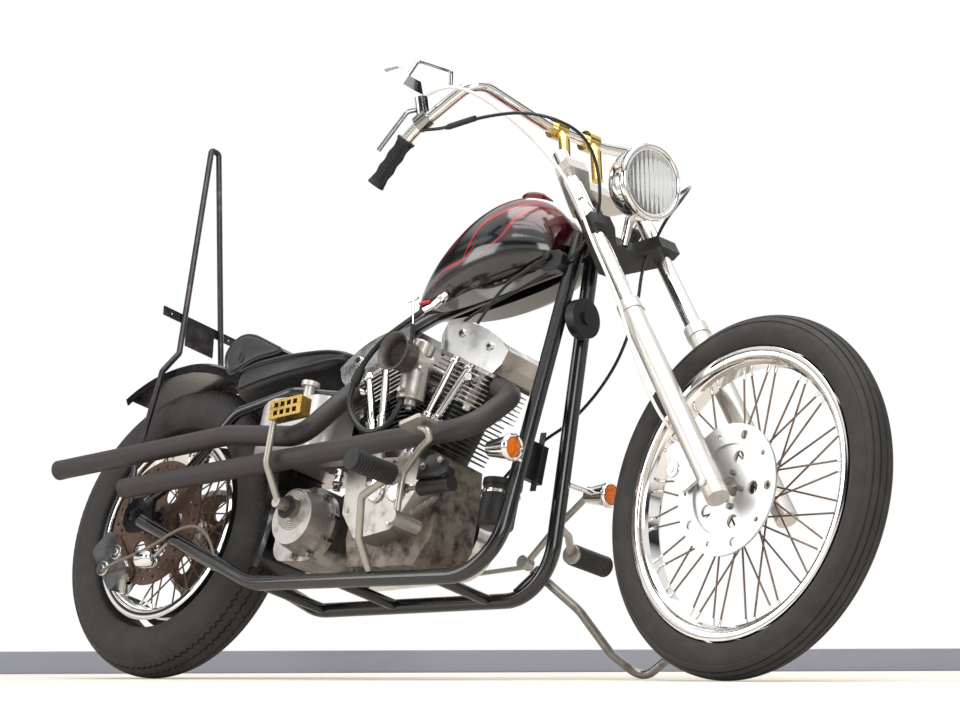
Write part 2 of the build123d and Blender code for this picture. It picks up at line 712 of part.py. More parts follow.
with BuildPart() as triple_trees:
    for level, thick in ((TREE_LOW - 16, 32), (TREE_HIGH - 11, 26)):
        with BuildSketch(STEM.offset(level)):
            with BuildLine():
                Polyline(
                    (-30, -15),
                    (FORK_OFFSET - 26, -FORK_SPREAD - 4),
                    (FORK_OFFSET - 8, -FORK_SPREAD - 26),
                    (FORK_OFFSET + 28, -FORK_SPREAD - 26),
                    (FORK_OFFSET + 30, -FORK_SPREAD + 26),
                    (FORK_OFFSET - 8, -30),
                    (FORK_OFFSET - 8, 30),
                    (FORK_OFFSET + 30, FORK_SPREAD - 26),
                    (FORK_OFFSET + 28, FORK_SPREAD + 26),
                    (FORK_OFFSET - 8, FORK_SPREAD + 26),
                    (FORK_OFFSET - 26, FORK_SPREAD + 4),
                    (-30, 15),
                    close=True,
                )
            make_face()
            with Locations((FORK_OFFSET, -FORK_SPREAD), (FORK_OFFSET, FORK_SPREAD)):
                Circle(FORK_TUBE_R, mode=Mode.SUBTRACT)
        extrude(amount=thick)
    with BuildSketch(STEM.offset(TREE_LOW)):
        Circle(STEM_R)
    extrude(amount=TREE_HIGH - TREE_LOW)
    with BuildSketch(STEM.offset(TREE_HIGH + 15)):
        RegularPolygon(17, 6)
    extrude(amount=12)
hand_over(triple_trees, "triple_trees", STEER)

with BuildPart() as fork_tubes:
    with BuildSketch(STEM.offset(SLIDER_TOP - 120)):
        with Locations((FORK_OFFSET, -FORK_SPREAD), (FORK_OFFSET, FORK_SPREAD)):
            Circle(FORK_TUBE_R)
    extrude(amount=FORK_TOP - SLIDER_TOP + 120)
hand_over(fork_tubes, "fork_tubes", STEER)

with BuildPart() as fork_sliders:
    with BuildSketch(STEM.offset(AXLE_UP - 34)):
        with Locations((FORK_OFFSET, -FORK_SPREAD), (FORK_OFFSET, FORK_SPREAD)):
            Circle(22.5)
    extrude(amount=SLIDER_TOP - AXLE_UP + 34)
    with BuildSketch(STEM.offset(SLIDER_TOP)):
        with Locations((FORK_OFFSET, -FORK_SPREAD), (FORK_OFFSET, FORK_SPREAD)):
            Circle(25)
    extrude(amount=26)
    with BuildSketch(STEM.offset(SLIDER_TOP - 120)):
        with Locations((FORK_OFFSET, -FORK_SPREAD), (FORK_OFFSET, FORK_SPREAD)):
            Circle(FORK_TUBE_R)
    extrude(amount=146, mode=Mode.SUBTRACT)
    with BuildSketch(Plane.XZ.offset(-FORK_SPREAD - 16)):
        with Locations((WHEELBASE, FRONT_R)):
            Circle(16)
    extrude(amount=24)
    with BuildSketch(Plane.XZ.offset(FORK_SPREAD - 8)):
        with Locations((WHEELBASE, FRONT_R)):
            Circle(16)
    extrude(amount=24)
    bar((WHEELBASE, -118, FRONT_R), (WHEELBASE, 118, FRONT_R), FRONT_AXLE_R)
hand_over(fork_sliders, "fork_sliders", STEER)

with BuildPart() as headlamp:
    with BuildSketch(Plane(origin=(1186, 0, 1030))):
        with BuildLine():
            Line((0, 0), (0, 28))
            ThreePointArc((0, 28), (26, 66), (62, 76))
            Line((62, 76), (84, 76))
            Line((84, 76), (84, 0))
            Line((84, 0), (0, 0))
        make_face()
    revolve(axis=Axis((1186, 0, 1030), (1, 0, 0)))
    bar((1216, 0, 962), (1208, 0, 904), 9)
    add(triple_trees.part, mode=Mode.SUBTRACT)
hand_over(headlamp, "headlamp", STEER)

with BuildPart() as risers:
    for y in (-45, 45):
        bent_tube([(1048, y, 1082), (1030, y, 1150), (1005, y, 1176)], (20,), 12)
        with BuildSketch(Plane.XZ.offset(-y - 15)):
            with Locations((1005, 1176)):
                Circle(22)
                Circle(12.7, mode=Mode.SUBTRACT)
        extrude(amount=30)
    with BuildSketch(Plane.XZ.offset(-60)):
        with Locations((1005, 1176)):
            Circle(12.7)
    extrude(amount=120, mode=Mode.SUBTRACT)
hand_over(risers, "risers", STEER)

HALF_BAR = [(1005, 0, 1176), (1005, -80, 1176), (1017, -285, 1206), (877, -325, 1104), (803, -343, 998)]
with BuildPart() as handlebar:
    whole = [mirrored_y(p) for p in reversed(HALF_BAR[1:])] + HALF_BAR[1:]
    bent_tube(whole, (150, 44, 60, 60, 44, 150), 12.7)
hand_over(handlebar, "handlebar", STEER)

GRIP_FROM = 0.15
GRIP_R = 17.0
with BuildPart() as grips:
    for side in both_sides(HALF_BAR[3:]):
        turn = Vector(side[0])
        tip = Vector(side[1])
        start = turn + (tip - turn) * GRIP_FROM
        bar(tuple(start), tuple(tip + (tip - turn).normalized() * 4), GRIP_R)
    add(handlebar.part, mode=Mode.SUBTRACT)
hand_over(grips, "grips", STEER)

with BuildPart() as bar_controls:
    for side in (-1, 1):
        bar((890, side * 321, 1118), (914, side * 314, 1136), 19)
        bar((896, side * 328, 1176), (902, side * 318, 1130), 14)
        bent_tube([(893, side * 324, 1152), (880, side * 346, 1142), (836, side * 374, 1056)], (16,), 5)
    add(handlebar.part, mode=Mode.SUBTRACT)
hand_over(bar_controls, "bar_controls", STEER)

with BuildPart() as mirror:
    with BuildSketch(Plane(origin=(878, -362, 1202), z_dir=(-0.55, -0.1, -0.83))):
        Circle(50)
    extrude(amount=-20, taper=45)
    bent_tube([(884, -361, 1214), (886, -341, 1256), (952, -302, 1232), (952, -298, 1200)], (9, 9), 4.5)
    add(handlebar.part, mode=Mode.SUBTRACT)
hand_over(mirror, "mirror", STEER)

with BuildPart() as front_caliper:
    with BuildSketch(Plane.XZ.offset(30)):
        with Locations(Location((1530, 404), -58.0)):
            RectangleRounded(104, 62, 14)
    extrude(amount=40)
    with BuildSketch(Plane.XZ.offset(39)):
        with Locations((WHEELBASE, FRONT_R)):
            Circle(132)
    extrude(amount=21, mode=Mode.SUBTRACT)
    bar((1524, -66, 448), (1516, -86, 460), 8)
    add(fork_sliders.part, mode=Mode.SUBTRACT)
hand_over(front_caliper, "front_caliper", STEER)

# Front brake hose: from the bar's master cylinder down the right fork leg to the caliper
HOSE = [
    (918, -330, 1176),
    (968, -330, 1190),
    (1020, -290, 1178),
    (1062, -232, 1140),
    (1108, -176, 1086),
    (1160, -138, 1020),
    (1206, -126, 948),
    (1252, -126, 876),
    (1300, -122, 806),
    (1350, -125, 740),
    (1392, -126, 668),
    (1432, -124, 594),
    (1468, -113, 528),
    (1500, -95, 476),
    (1516, -86, 461),
]
HOSE_R = 3.5


def even_bends(points):
    """The largest arc each corner of a route has room for, 0.45 of its shorter run."""
    radii = []
    for before, corner, after in zip(points, points[1:], points[2:]):
        into = Vector(corner) - Vector(before)
        out = Vector(after) - Vector(corner)
        half_turn = radians(into.get_angle(out)) / 2
        radii.append(0.45 * min(into.length, out.length) / tan(half_turn))
    return radii


with BuildPart() as brake_hose:
    bends = even_bends(HOSE)
    bent_tube(HOSE, bends, HOSE_R)
    add(front_caliper.part, mode=Mode.SUBTRACT)
print("brake hose radii", [round(bend) for bend in bends])
hand_over(brake_hose, "brake_hose", STEER)

# Wheels
# columns: bead seat radius, flange radius, half width over the flanges, crown radius, outer radius
FRONT_RIM = (267.0, 281.5, 31.0)
REAR_RIM = (203.0, 218.5, 48.0)


def tyre_face(bead, flange, half, outer, crown, widest):
    """Half section of a tyre from the rim's seat to the crown, as radius and height."""
    ring = outer - crown
    lean = radians(42)
    with BuildLine() as edge:
        ThreePointArc(
            (ring + crown * cos(lean), -crown * sin(lean)),
            (outer, 0),
            (ring + crown * cos(lean), crown * sin(lean)),
        )
        Polyline(
            (ring + crown * cos(lean), crown * sin(lean)),
            (ring - 4, widest),
            (flange, half - 3),
            (bead, half - 6),
            (bead, -half + 6),
            (flange, -half + 3),
            (ring - 4, -widest),
            (ring + crown * cos(lean), -crown * sin(lean)),
        )
    return make_face(edge.edges(), mode=Mode.PRIVATE)


def rim_face(bead, flange, half):
    """Section of a drop-centre rim, as radius and height."""
    with BuildLine() as edge:
        Polyline(
            (bead - 16, -half + 16),
            (bead - 16, half - 16),
            (bead - 4, half - 8),
            (bead - 3, half),
            (flange, half),
            (flange, half - 3),
            (bead, half - 6),
            (bead, half - 12),
            (bead - 12, half - 18),
            (bead - 12, -half + 18),
            (bead, -half + 12),
            (bead, -half + 6),
            (flange, -half + 3),
            (flange, -half),
            (bead - 3, -half),
            (bead - 4, -half + 8),
            close=True,
        )
    return make_face(edge.edges(), mode=Mode.PRIVATE)


# columns: name, hub place, rim, outer radius, crown radius, widest half width
WHEELS = [
    ("front", STEER * FRONT_HUB.location, FRONT_RIM, FRONT_R, FRONT_CROWN, 40.0),
    ("rear", PARK * REAR_HUB.location, REAR_RIM, REAR_R, REAR_CROWN, 64.0),
]
HUB_BORE = 9.5
SPOKE_R = 2.0
SPOKE_GROUPS = 10
SPOKE_SWEEP = radians(52)
SPOKE_BIAS = radians(9)
# the two spokes of a flange that cross lie this far either side of its middle
SPOKE_CLEAR = 3.0

for name, place, rim, outer, crown, widest in WHEELS:
    bead, flange, half = rim
    with BuildPart() as tyre:
        with BuildSketch(Plane.XZ):
            add(tyre_face(bead, flange, half, outer, crown, widest))
        revolve(axis=Axis.Z)
    hand_over(tyre, f"{name}_tyre", place)

    with BuildPart() as rim_ring:
        with BuildSketch(Plane.XZ):
            add(rim_face(bead, flange, half))
        revolve(axis=Axis.Z)
    hand_over(rim_ring, f"{name}_rim", place)

    hub_half = half - 4
    with BuildPart() as hub:
        with BuildSketch(Plane.XZ):
            with BuildLine():
                Polyline(
                    (HUB_BORE, -hub_half - 8),
                    (24, -hub_half - 8),
                    (26, -hub_half),
                    (46, -hub_half + 1),
                    (46, -hub_half + 6),
                    (28, -hub_half + 12),
                    (28, hub_half - 12),
                    (46, hub_half - 6),
                    (46, hub_half - 1),
                    (26, hub_half),
                    (24, hub_half + 8),
                    (HUB_BORE, hub_half + 8),
                    close=True,
                )
            make_face()
        revolve(axis=Axis.Z)
    hand_over(hub, f"{name}_hub", place)

    with BuildPart() as spoke_group:
        for side in (-1, 1):
            for turn in (-1, 1):
                hub_angle = radians(18 if side > 0 else 0)
                rim_angle = hub_angle + turn * SPOKE_SWEEP + SPOKE_BIAS
                level = side * (hub_half - 4 - SPOKE_CLEAR * turn)
                start = (40 * cos(hub_angle), 40 * sin(hub_angle), level)
                end = ((bead - 13) * cos(rim_angle), (bead - 13) * sin(rim_angle), side * 5)
                bar(start, end, SPOKE_R)
        add(rim_ring.part, mode=Mode.SUBTRACT)
        add(hub.part, mode=Mode.SUBTRACT)
    with BuildPart() as spokes:
        with PolarLocations(0, SPOKE_GROUPS):
            add(spoke_group.part)
    print(name, "spokes", len(spokes.solids()))
    hand_over(spokes, f"{name}_spokes", place)

with BuildPart() as front_disc:
    with BuildSketch(Plane.XY.offset(50)):
        Circle(127)
        Circle(88, mode=Mode.SUBTRACT)
        with PolarLocations(107, 5):
            Circle(9, mode=Mode.SUBTRACT)
        with PolarLocations(107, 5, start_angle=36):
            Circle(5, mode=Mode.SUBTRACT)
    extrude(amount=5)
    with BuildSketch(Plane.XY.offset(44)):
        Circle(92)
        Circle(24.5, mode=Mode.SUBTRACT)
        with PolarLocations(64, 5):
            Circle(13, mode=Mode.SUBTRACT)
    extrude(amount=6)
    with BuildSketch(Plane.XY.offset(35)):
        Circle(40)
        Circle(24.5, mode=Mode.SUBTRACT)
    extrude(amount=10)
hand_over(front_disc, "front_disc", STEER * FRONT_HUB.location)

with BuildPart() as rear_disc:
    with BuildSketch(Plane.XY.offset(72)):
        Circle(146)
        Circle(26, mode=Mode.SUBTRACT)
        with PolarLocations(132, 24):
            Circle(4, mode=Mode.SUBTRACT)
        with PolarLocations(114, 24, start_angle=7.5):
            Circle(4, mode=Mode.SUBTRACT)
        with PolarLocations(72, 6):
            Circle(20, mode=Mode.SUBTRACT)
    extrude(amount=5)
    with BuildSketch(Plane.XY.offset(53)):
        Circle(44)
        Circle(26, mode=Mode.SUBTRACT)
    extrude(amount=19)
hand_over(rear_disc, "rear_disc", PARK * REAR_HUB.location)

with BuildPart() as rear_sprocket:
    with BuildSketch(Plane.XY.offset(-CHAIN_Y - 3.5)):
        Circle(REAR_PITCH_R - 6)
        with PolarLocations(REAR_PITCH_R - 2, REAR_TEETH):
            Trapezoid(9, 9, 70, rotation=-90)
        Circle(28, mode=Mode.SUBTRACT)
        with PolarLocations(80, 5):
            Circle(24, mode=Mode.SUBTRACT)
    extrude(amount=7)
    with BuildSketch(Plane.XY.offset(-CHAIN_Y + 3.5)):
        Circle(44)
        Circle(26, mode=Mode.SUBTRACT)
    extrude(amount=CHAIN_Y - 3.5 - 53)
hand_over(rear_sprocket, "rear_sprocket", PARK * REAR_HUB.location)

# Side stand: a bent rod, drawn where it stands on the ground under the leaned
# machine, with its eye on a pin that a lug on the left rail carries
STAND_R = 9.0
STAND_AXIS = Vector(0.177, 0.764, 0.622).normalized()
STAND_PIVOT = Vector(1021, 180, 213)
STAND_ROUTE = [
    tuple(STAND_PIVOT),
    (1094, 223, 139),
    (1137, 272, 50),
    (1178, 304, STAND_R),
    (1204, 311, STAND_R),
    (1246, 314, 36),
]
EYE_R = 14.0
EYE_HALF = 9.0
STAND_PIN_R = 5.0
STAND_PLACE = Location((CENTRE_X, CENTRE_Y, 0))


def on_pivot(along):
    """A point on the stand's pivot axis, at a distance from the eye's middle."""
    return tuple(STAND_PIVOT + STAND_AXIS * along)


with BuildPart() as side_stand:
    bent_tube(STAND_ROUTE, (60, 60, 40, 40), STAND_R)
    bar(on_pivot(-EYE_HALF), on_pivot(EYE_HALF), EYE_R)
    with BuildSketch(Plane(origin=on_pivot(-EYE_HALF - 1), z_dir=STAND_AXIS)) as bore:
        Circle(STAND_PIN_R + 0.05)
    extrude(bore.sketch, amount=2 * EYE_HALF + 2, mode=Mode.SUBTRACT)
hand_over(side_stand, "side_stand", STAND_PLACE)

with BuildPart() as stand_lug:
    bar(on_pivot(-64), on_pivot(-EYE_HALF - 0.5), 11)
    bar(on_pivot(-EYE_HALF - 1), on_pivot(EYE_HALF + 1), STAND_PIN_R)
    bar(on_pivot(EYE_HALF + 0.5), on_pivot(EYE_HALF + 7), 9)
    add(frame_left_cradle.part.moved(UPRIGHT_TO_GROUND), mode=Mode.SUBTRACT)
hand_over(stand_lug, "stand_lug", STAND_PLACE)
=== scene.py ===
"""Looks of a rigid-frame chopper that leans on its side stand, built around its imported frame."""

import json
import logging
import math
from contextlib import contextmanager
from dataclasses import dataclass
from enum import Enum
from typing import Callable, Iterator, Sequence

import bpy
from mathutils import Matrix, Vector

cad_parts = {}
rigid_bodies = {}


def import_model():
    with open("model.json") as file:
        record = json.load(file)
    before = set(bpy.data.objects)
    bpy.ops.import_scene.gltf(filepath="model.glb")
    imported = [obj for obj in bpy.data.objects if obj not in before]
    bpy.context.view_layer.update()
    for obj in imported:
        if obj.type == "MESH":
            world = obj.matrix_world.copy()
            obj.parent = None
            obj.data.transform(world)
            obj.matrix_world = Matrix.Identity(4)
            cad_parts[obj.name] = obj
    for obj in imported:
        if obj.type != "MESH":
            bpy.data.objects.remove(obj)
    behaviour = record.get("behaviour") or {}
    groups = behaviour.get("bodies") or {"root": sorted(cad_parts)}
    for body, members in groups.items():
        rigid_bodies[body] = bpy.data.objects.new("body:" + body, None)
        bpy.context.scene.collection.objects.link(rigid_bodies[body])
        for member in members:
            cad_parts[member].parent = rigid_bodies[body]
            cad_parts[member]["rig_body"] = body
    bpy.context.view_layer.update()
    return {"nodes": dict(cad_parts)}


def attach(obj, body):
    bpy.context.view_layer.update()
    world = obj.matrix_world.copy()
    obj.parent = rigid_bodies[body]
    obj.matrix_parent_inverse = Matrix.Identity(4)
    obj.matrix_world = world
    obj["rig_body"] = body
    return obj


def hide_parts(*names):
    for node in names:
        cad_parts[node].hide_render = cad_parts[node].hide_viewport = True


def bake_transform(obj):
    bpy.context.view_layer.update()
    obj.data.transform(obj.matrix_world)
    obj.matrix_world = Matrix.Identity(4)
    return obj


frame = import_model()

LOG = logging.getLogger("chopper")
MM = 0.001
Point = tuple[float, float, float]
Pair = tuple[float, float]


class Body(Enum):
    """The moving bodies that a piece can ride on."""

    CHASSIS = "chassis"
    STEERING = "steering"
    FRONT_WHEEL = "front_wheel"
    REAR_WHEEL = "rear_wheel"
    SIDE_STAND = "side_stand"


@dataclass(frozen=True)
class Stance:
    """How the upright machine, in millimetres, stands in the row's frame, in metres."""

    wheelbase: float = 1640.0
    rake: float = 37.0
    offset: float = 56.0
    front_radius: float = 349.0
    rear_radius: float = 338.0
    lean: float = 16.0
    steer: float = -8.0
    pitch: float = -0.12042
    lift: float = 2.480
    centre: Pair = (-823.62, -221.39)

    @property
    def foot(self) -> Vector:
        """Where the steering axis meets the ground."""
        rake = math.radians(self.rake)
        trail = (self.front_radius * math.sin(rake) - self.offset) / math.cos(rake)
        return Vector((self.wheelbase + trail, 0, 0))

    def parked(self) -> Matrix:
        """Place of what rides on the frame."""
        shift = Matrix.Translation(Vector((self.centre[0], self.centre[1], self.lift)) * MM)
        nod = Matrix.Rotation(math.radians(self.pitch), 4, "Y")
        tilt = Matrix.Rotation(math.radians(-self.lean), 4, "X")
        return shift @ (nod @ tilt) @ Matrix.Scale(MM, 4)

    def steered(self) -> Matrix:
        """Place of what rides on the fork."""
        rake = math.radians(self.rake)
        foot = Matrix.Translation(self.foot)
        turn = Matrix.Rotation(-rake, 4, "Y") @ Matrix.Rotation(math.radians(self.steer), 4, "Z")
        return self.parked() @ foot @ turn @ Matrix.Rotation(rake, 4, "Y") @ foot.inverted()

    def on_ground(self) -> Matrix:
        """Place of what is drawn on the ground under the leaned machine."""
        return Matrix.Translation(Vector((self.centre[0], self.centre[1], 0)) * MM) @ Matrix.Scale(MM, 4)


STANCE = Stance()
PARKED = STANCE.parked()
STEERED = STANCE.steered()
CRANK = Vector((748.0, 0.0, 340.0))
V_HALF = 22.5
HEAD_TOP = 345.0
RIGHT, LEFT = -1, 1
SIDE_NAMES = {RIGHT: "right", LEFT: "left"}
WELD = 2e-6
BEVEL_ANGLE = math.radians(50)


def linear(code: str) -> tuple[float, float, float, float]:
    """Turns an sRGB hex value into a linear colour.

    Args:
        code: six hex digits.

    Returns:
        Red, green, blue and an alpha of 1.
    """
    parts = [int(code[i : i + 2], 16) / 255 for i in (0, 2, 4)]
    red, green, blue = [c / 12.92 if c <= 0.04045 else ((c + 0.055) / 1.055) ** 2.4 for c in parts]
    return red, green, blue, 1.0


def add_node(tree: bpy.types.NodeTree, kind: str, settings: dict | None = None, links: dict | None = None):
    """Adds a node, sets its properties and sockets, and links its inputs.

    Args:
        tree: the node tree.
        kind: the node's type.
        settings: properties by name, and input sockets by "@name" or "@number".
        links: input sockets by name or number, each with the output that feeds it.

    Returns:
        The node.
    """
    node = tree.nodes.new(kind)
    for name, value in (settings or {}).items():
        if name.startswith("@"):
            key = name[1:]
            node.inputs[int(key) if key.isdigit() else key].default_value = value
        else:
            setattr(node, name, value)
    for name, output in (links or {}).items():
        tree.links.new(output, node.inputs[name])
    return node


@dataclass(frozen=True)
class Finish:
    """A surface made of a base colour, patches of a second one, and a fine relief.

    Sizes are in millimetres on the real thing: patch is the width of a patch, grain that of the relief.
    """

    name: str
    colour: str
    stain: str
    slot: str
    metallic: float = 0.0
    rough: Pair = (0.3, 0.45)
    patch: float = 60.0
    cover: Pair = (0.55, 0.75)
    grain: float = 2.0
    relief: float = 0.0
    coat: float = 0.0
    sheen: float = 0.0
    transmission: float = 0.0
    ior: float = 1.5

    def shade(self, tree: bpy.types.NodeTree, shader: bpy.types.Node) -> None:
        """Adds this finish's own pattern; a subclass extends it."""

    def material(self) -> bpy.types.Material:
        """Makes the material, or returns the one already made.

        Returns:
            The node material.
        """
        known = bpy.data.materials.get(self.name)
        if known:
            return known
        material = bpy.data.materials.new(self.name)
        material.use_nodes = True
        tree = material.node_tree
        shader = tree.nodes["Principled BSDF"]
        shader.inputs["Metallic"].default_value = self.metallic
        shader.inputs["Coat Weight"].default_value = self.coat
        shader.inputs["Coat Roughness"].default_value = 0.08
        shader.inputs["Sheen Weight"].default_value = self.sheen
        shader.inputs["Transmission Weight"].default_value = self.transmission
        shader.inputs["IOR"].default_value = self.ior
        place = add_node(tree, "ShaderNodeTexCoord")
        patches = add_node(
            tree,
            "ShaderNodeTexNoise",
            {"@Scale": 1 / (self.patch * MM), "@Detail": 5.0, "@Roughness": 0.62},
            {"Vector": place.outputs["Object"]},
        )
        cover = add_node(
            tree,
            "ShaderNodeMapRange",
            {"@From Min": self.cover[0], "@From Max": self.cover[1]},
            {"Value": patches.outputs["Fac"]},
        )
        blend = add_node(
            tree,
            "ShaderNodeMix",
            {"data_type": "RGBA", "@6": linear(self.colour), "@7": linear(self.stain)},
            {0: cover.outputs["Result"]},
        )
        tree.links.new(blend.outputs[2], shader.inputs["Base Color"])
        rough = add_node(
            tree,
            "ShaderNodeMapRange",
            {"@From Min": 0.35, "@From Max": 0.7, "@To Min": self.rough[0], "@To Max": self.rough[1]},
            {"Value": patches.outputs["Fac"]},
        )
        tree.links.new(rough.outputs["Result"], shader.inputs["Roughness"])
        if self.relief:
            grain = add_node(
                tree,
                "ShaderNodeTexNoise",
                {"@Scale": 1 / (self.grain * MM), "@Detail": 3.0},
                {"Vector": place.outputs["Object"]},
            )
            bump = add_node(
                tree,
                "ShaderNodeBump",
                {"@Strength": 1.0, "@Distance": self.relief * MM},
                {"Height": grain.outputs["Fac"]},
            )
            tree.links.new(bump.outputs["Normal"], shader.inputs["Normal"])
        self.shade(tree, shader)
        return material


@dataclass(frozen=True)
class CandyTank(Finish):
    """Black lacquer that fades to candy red over the tank's nose and crown."""

    candy: str = "7a1420"
    heart: Point = (1010.0, 0.0, 1046.0)
    reach: float = 205.0

    def shade(self, tree: bpy.types.NodeTree, shader: bpy.types.Node) -> None:
        """Adds the red fade, measured from a point inside the tank's nose."""
        place = add_node(tree, "ShaderNodeTexCoord")
        heart = PARKED @ Vector(self.heart)
        away = add_node(
            tree,
            "ShaderNodeVectorMath",
            {"operation": "DISTANCE", "@1": tuple(heart)},
            {0: place.outputs["Object"]},
        )
        spot = {"Vector": place.outputs["Object"]}
        cloud = add_node(tree, "ShaderNodeTexNoise", {"@Scale": 14.0, "@Detail": 2.0}, spot)
        drift = add_node(
            tree,
            "ShaderNodeMath",
            {"operation": "MULTIPLY_ADD", "@1": 0.09},
            {0: cloud.outputs["Fac"], 2: away.outputs["Value"]},
        )
        fade = add_node(
            tree,
            "ShaderNodeMapRange",
            {"@From Min": self.reach * MM, "@From Max": 0.45 * self.reach * MM, "@To Max": 0.85},
            {"Value": drift.outputs["Value"]},
        )
        under = shader.inputs["Base Color"].links[0].from_socket
        blend = add_node(
            tree,
            "ShaderNodeMix",
            {"data_type": "RGBA", "@7": linear(self.candy)},
            {0: fade.outputs["Result"], 6: under},
        )
        tree.links.new(blend.outputs[2], shader.inputs["Base Color"])


@dataclass(frozen=True)
class Grained(Finish):
    """Leather or rubber whose relief is made of small cells."""

    def shade(self, tree: bpy.types.NodeTree, shader: bpy.types.Node) -> None:
        """Adds a cell relief on top of the colour."""
        place = add_node(tree, "ShaderNodeTexCoord")
        spot = {"Vector": place.outputs["Object"]}
        cells = add_node(tree, "ShaderNodeTexVoronoi", {"@Scale": 1 / (self.grain * MM)}, spot)
        bump = add_node(
            tree,
            "ShaderNodeBump",
            {"@Strength": 0.6, "@Distance": 0.25 * MM},
            {"Height": cells.outputs["Distance"]},
        )
        tree.links.new(bump.outputs["Normal"], shader.inputs["Normal"])


@dataclass(frozen=True)
class Fluted(Finish):
    """Pressed lamp glass with upright flutes."""

    def shade(self, tree: bpy.types.NodeTree, shader: bpy.types.Node) -> None:
        """Adds the flutes as a wave across the glass."""
        place = add_node(tree, "ShaderNodeTexCoord")
        flutes = add_node(
            tree,
            "ShaderNodeTexWave",
            {"bands_direction": "Y", "@Scale": 26.0, "@Distortion": 0.4},
            {"Vector": place.outputs["Object"]},
        )
        bump = add_node(
            tree, "ShaderNodeBump", {"@Strength": 0.8, "@Distance": 1.2 * MM}, {"Height": flutes.outputs["Fac"]}
        )
        tree.links.new(bump.outputs["Normal"], shader.inputs["Normal"])


# Stoving enamel over tube: deep black, with a dull film of road dust here and there
FRAME_ENAMEL = Finish(
    "frame_enamel", "0b0b0d", "231f1c", "black_frame_paint", rough=(0.16, 0.34), coat=0.5, patch=90.0
)
# Old lacquer on the tank: black with fine haze, under a clear coat that still shines
TANK_LACQUER = CandyTank(
    "tank_lacquer", "0d0b0c", "1d1818", "black_tank_paint", rough=(0.14, 0.26), coat=0.9, patch=70.0
)
# Red pinstripe lacquer of the flames: opaque, a little orange where it is thin
FLAME_LACQUER = Finish(
    "flame_lacquer", "8f1820", "b4383a", "black_tank_paint", rough=(0.2, 0.3), coat=0.8, patch=25.0
)
# Oiled cowhide: black, creased, rubbed grey on the raised parts
COWHIDE = Grained(
    "cowhide", "101012", "26252a", "black_leather", rough=(0.32, 0.5), patch=45.0, grain=2.2, sheen=0.15
)
# Cast aluminium, bead blasted: soft grey with oil-dark patches
CAST_ALUMINIUM = Finish(
    "cast_aluminium", "b3afa9", "6e6760", "engine_aluminium", metallic=0.95, rough=(0.3, 0.5), patch=35.0,
    cover=(0.5, 0.8), grain=1.6, relief=0.12,
)
# Crankcase casting: sand cast, darkened partly by oil and road dirt and partly as painted shade on all of the case
# but the timing cover's face
DIRTY_SHADED_CASTING = Finish(
    "dirt_and_painted_shade_casting", "7d756c", "37322e", "engine_aluminium", metallic=0.85, rough=(0.4, 0.6), patch=30.0,
    cover=(0.42, 0.68), grain=1.4, relief=0.2,
)
# Polished aluminium: bright, with fine swirls that blur what it mirrors
POLISHED_ALUMINIUM = Finish(
    "polished_aluminium", "d9d8d6", "b5b1ac", "engine_aluminium", metallic=1.0, rough=(0.12, 0.24), patch=50.0
)
# Satin silver lacquer on the fork legs and the oil tank
SILVER_LACQUER = Finish(
    "silver_lacquer", "cfccc6", "b1a799", "engine_aluminium", metallic=0.65, rough=(0.32, 0.44), patch=80.0,
    coat=0.2,
)
# Cylinder paint: heat-proof satin black
HEAT_BLACK = Finish("heat_black", "121212", "2b2622", "black_cylinder_paint", rough=(0.38, 0.55), patch=30.0)
# Plated chrome: a clear mirror with a few dull specks
CHROME = Finish("plated_chrome", "ecebe9", "cfc8be", "chrome", metallic=1.0, rough=(0.04, 0.12), patch=45.0)
# Bell mouth: dull cast grey, sooty
BELL_GREY = Finish("bell_grey", "5c5650", "3c3732", "cast_grey", metallic=0.8, rough=(0.4, 0.55), patch=25.0)
# Bare mild steel: grey, with brown rust coming through
WORN_STEEL = Finish(
    "worn_steel", "a39c92", "6d5040", "worn_steel", metallic=0.9, rough=(0.26, 0.5), patch=28.0, cover=(0.52, 0.7)
)
# Bare round bar of the sissy bar and side stand: drawn steel gone dull
DRAWN_STEEL = Finish("drawn_steel", "8f8b86", "5f564e", "worn_steel", metallic=1.0, rough=(0.22, 0.42), patch=40.0)
# Black bar of the sissy bar: enamel worn through to dull steel
DARK_BAR = Finish(
    "dark_bar", "38363a", "5d554e", "worn_steel", metallic=0.75, rough=(0.28, 0.45), patch=30.0, cover=(0.5, 0.75)
)
# Chrome of the mirror and levers: plated long ago, gone grey
GREY_CHROME = Finish("grey_chrome", "a3a2a3", "6f6c6a", "chrome", metallic=1.0, rough=(0.07, 0.16), patch=30.0)
# Rusted brake steel: brown scale all over
RUSTED_STEEL = Finish(
    "rusted_steel", "5d4a40", "8a7768", "worn_steel", metallic=0.7, rough=(0.5, 0.7), patch=16.0, grain=1.5,
    relief=0.15,
)
# Spokes: dull zinc with rust on it
ZINC_SPOKE = Finish("zinc_spoke", "7c6a5e", "4c382e", "worn_steel", metallic=0.8, rough=(0.35, 0.6), patch=22.0)
# High-temperature paint on the pipes: flat warm grey, browned in places
PIPE_PAINT = Finish(
    "pipe_paint", "302c2c", "42383a", "matt_black_exhaust", rough=(0.5, 0.68), patch=70.0, cover=(0.5, 0.8),
    grain=1.0, relief=0.05, metallic=0.1,
)
# Near-black for hollows: painted shade in the rocker bolts' socket recesses, and painted shade with real soot inside
# the pipe ends
SOOT_AND_SHADE_BLACK = Finish("soot_and_painted_shade", "0a0908", "15110e", "matt_black_exhaust", rough=(0.9, 0.95))
# Polished brass of the risers, pale
PALE_BRASS = Finish("pale_brass", "d9bf78", "b5934f", "aged_brass", metallic=1.0, rough=(0.14, 0.3), patch=40.0)
# Gold anodised pedal
GOLD_ANODISED = Finish(
    "gold_anodised", "cfae62", "9b7a3e", "worn_steel", metallic=1.0, rough=(0.2, 0.36), patch=20.0
)
# Moulded nitrile: black, dry
NITRILE = Grained("nitrile", "161617", "242324", "black_rubber", rough=(0.5, 0.65), patch=30.0, grain=1.4)
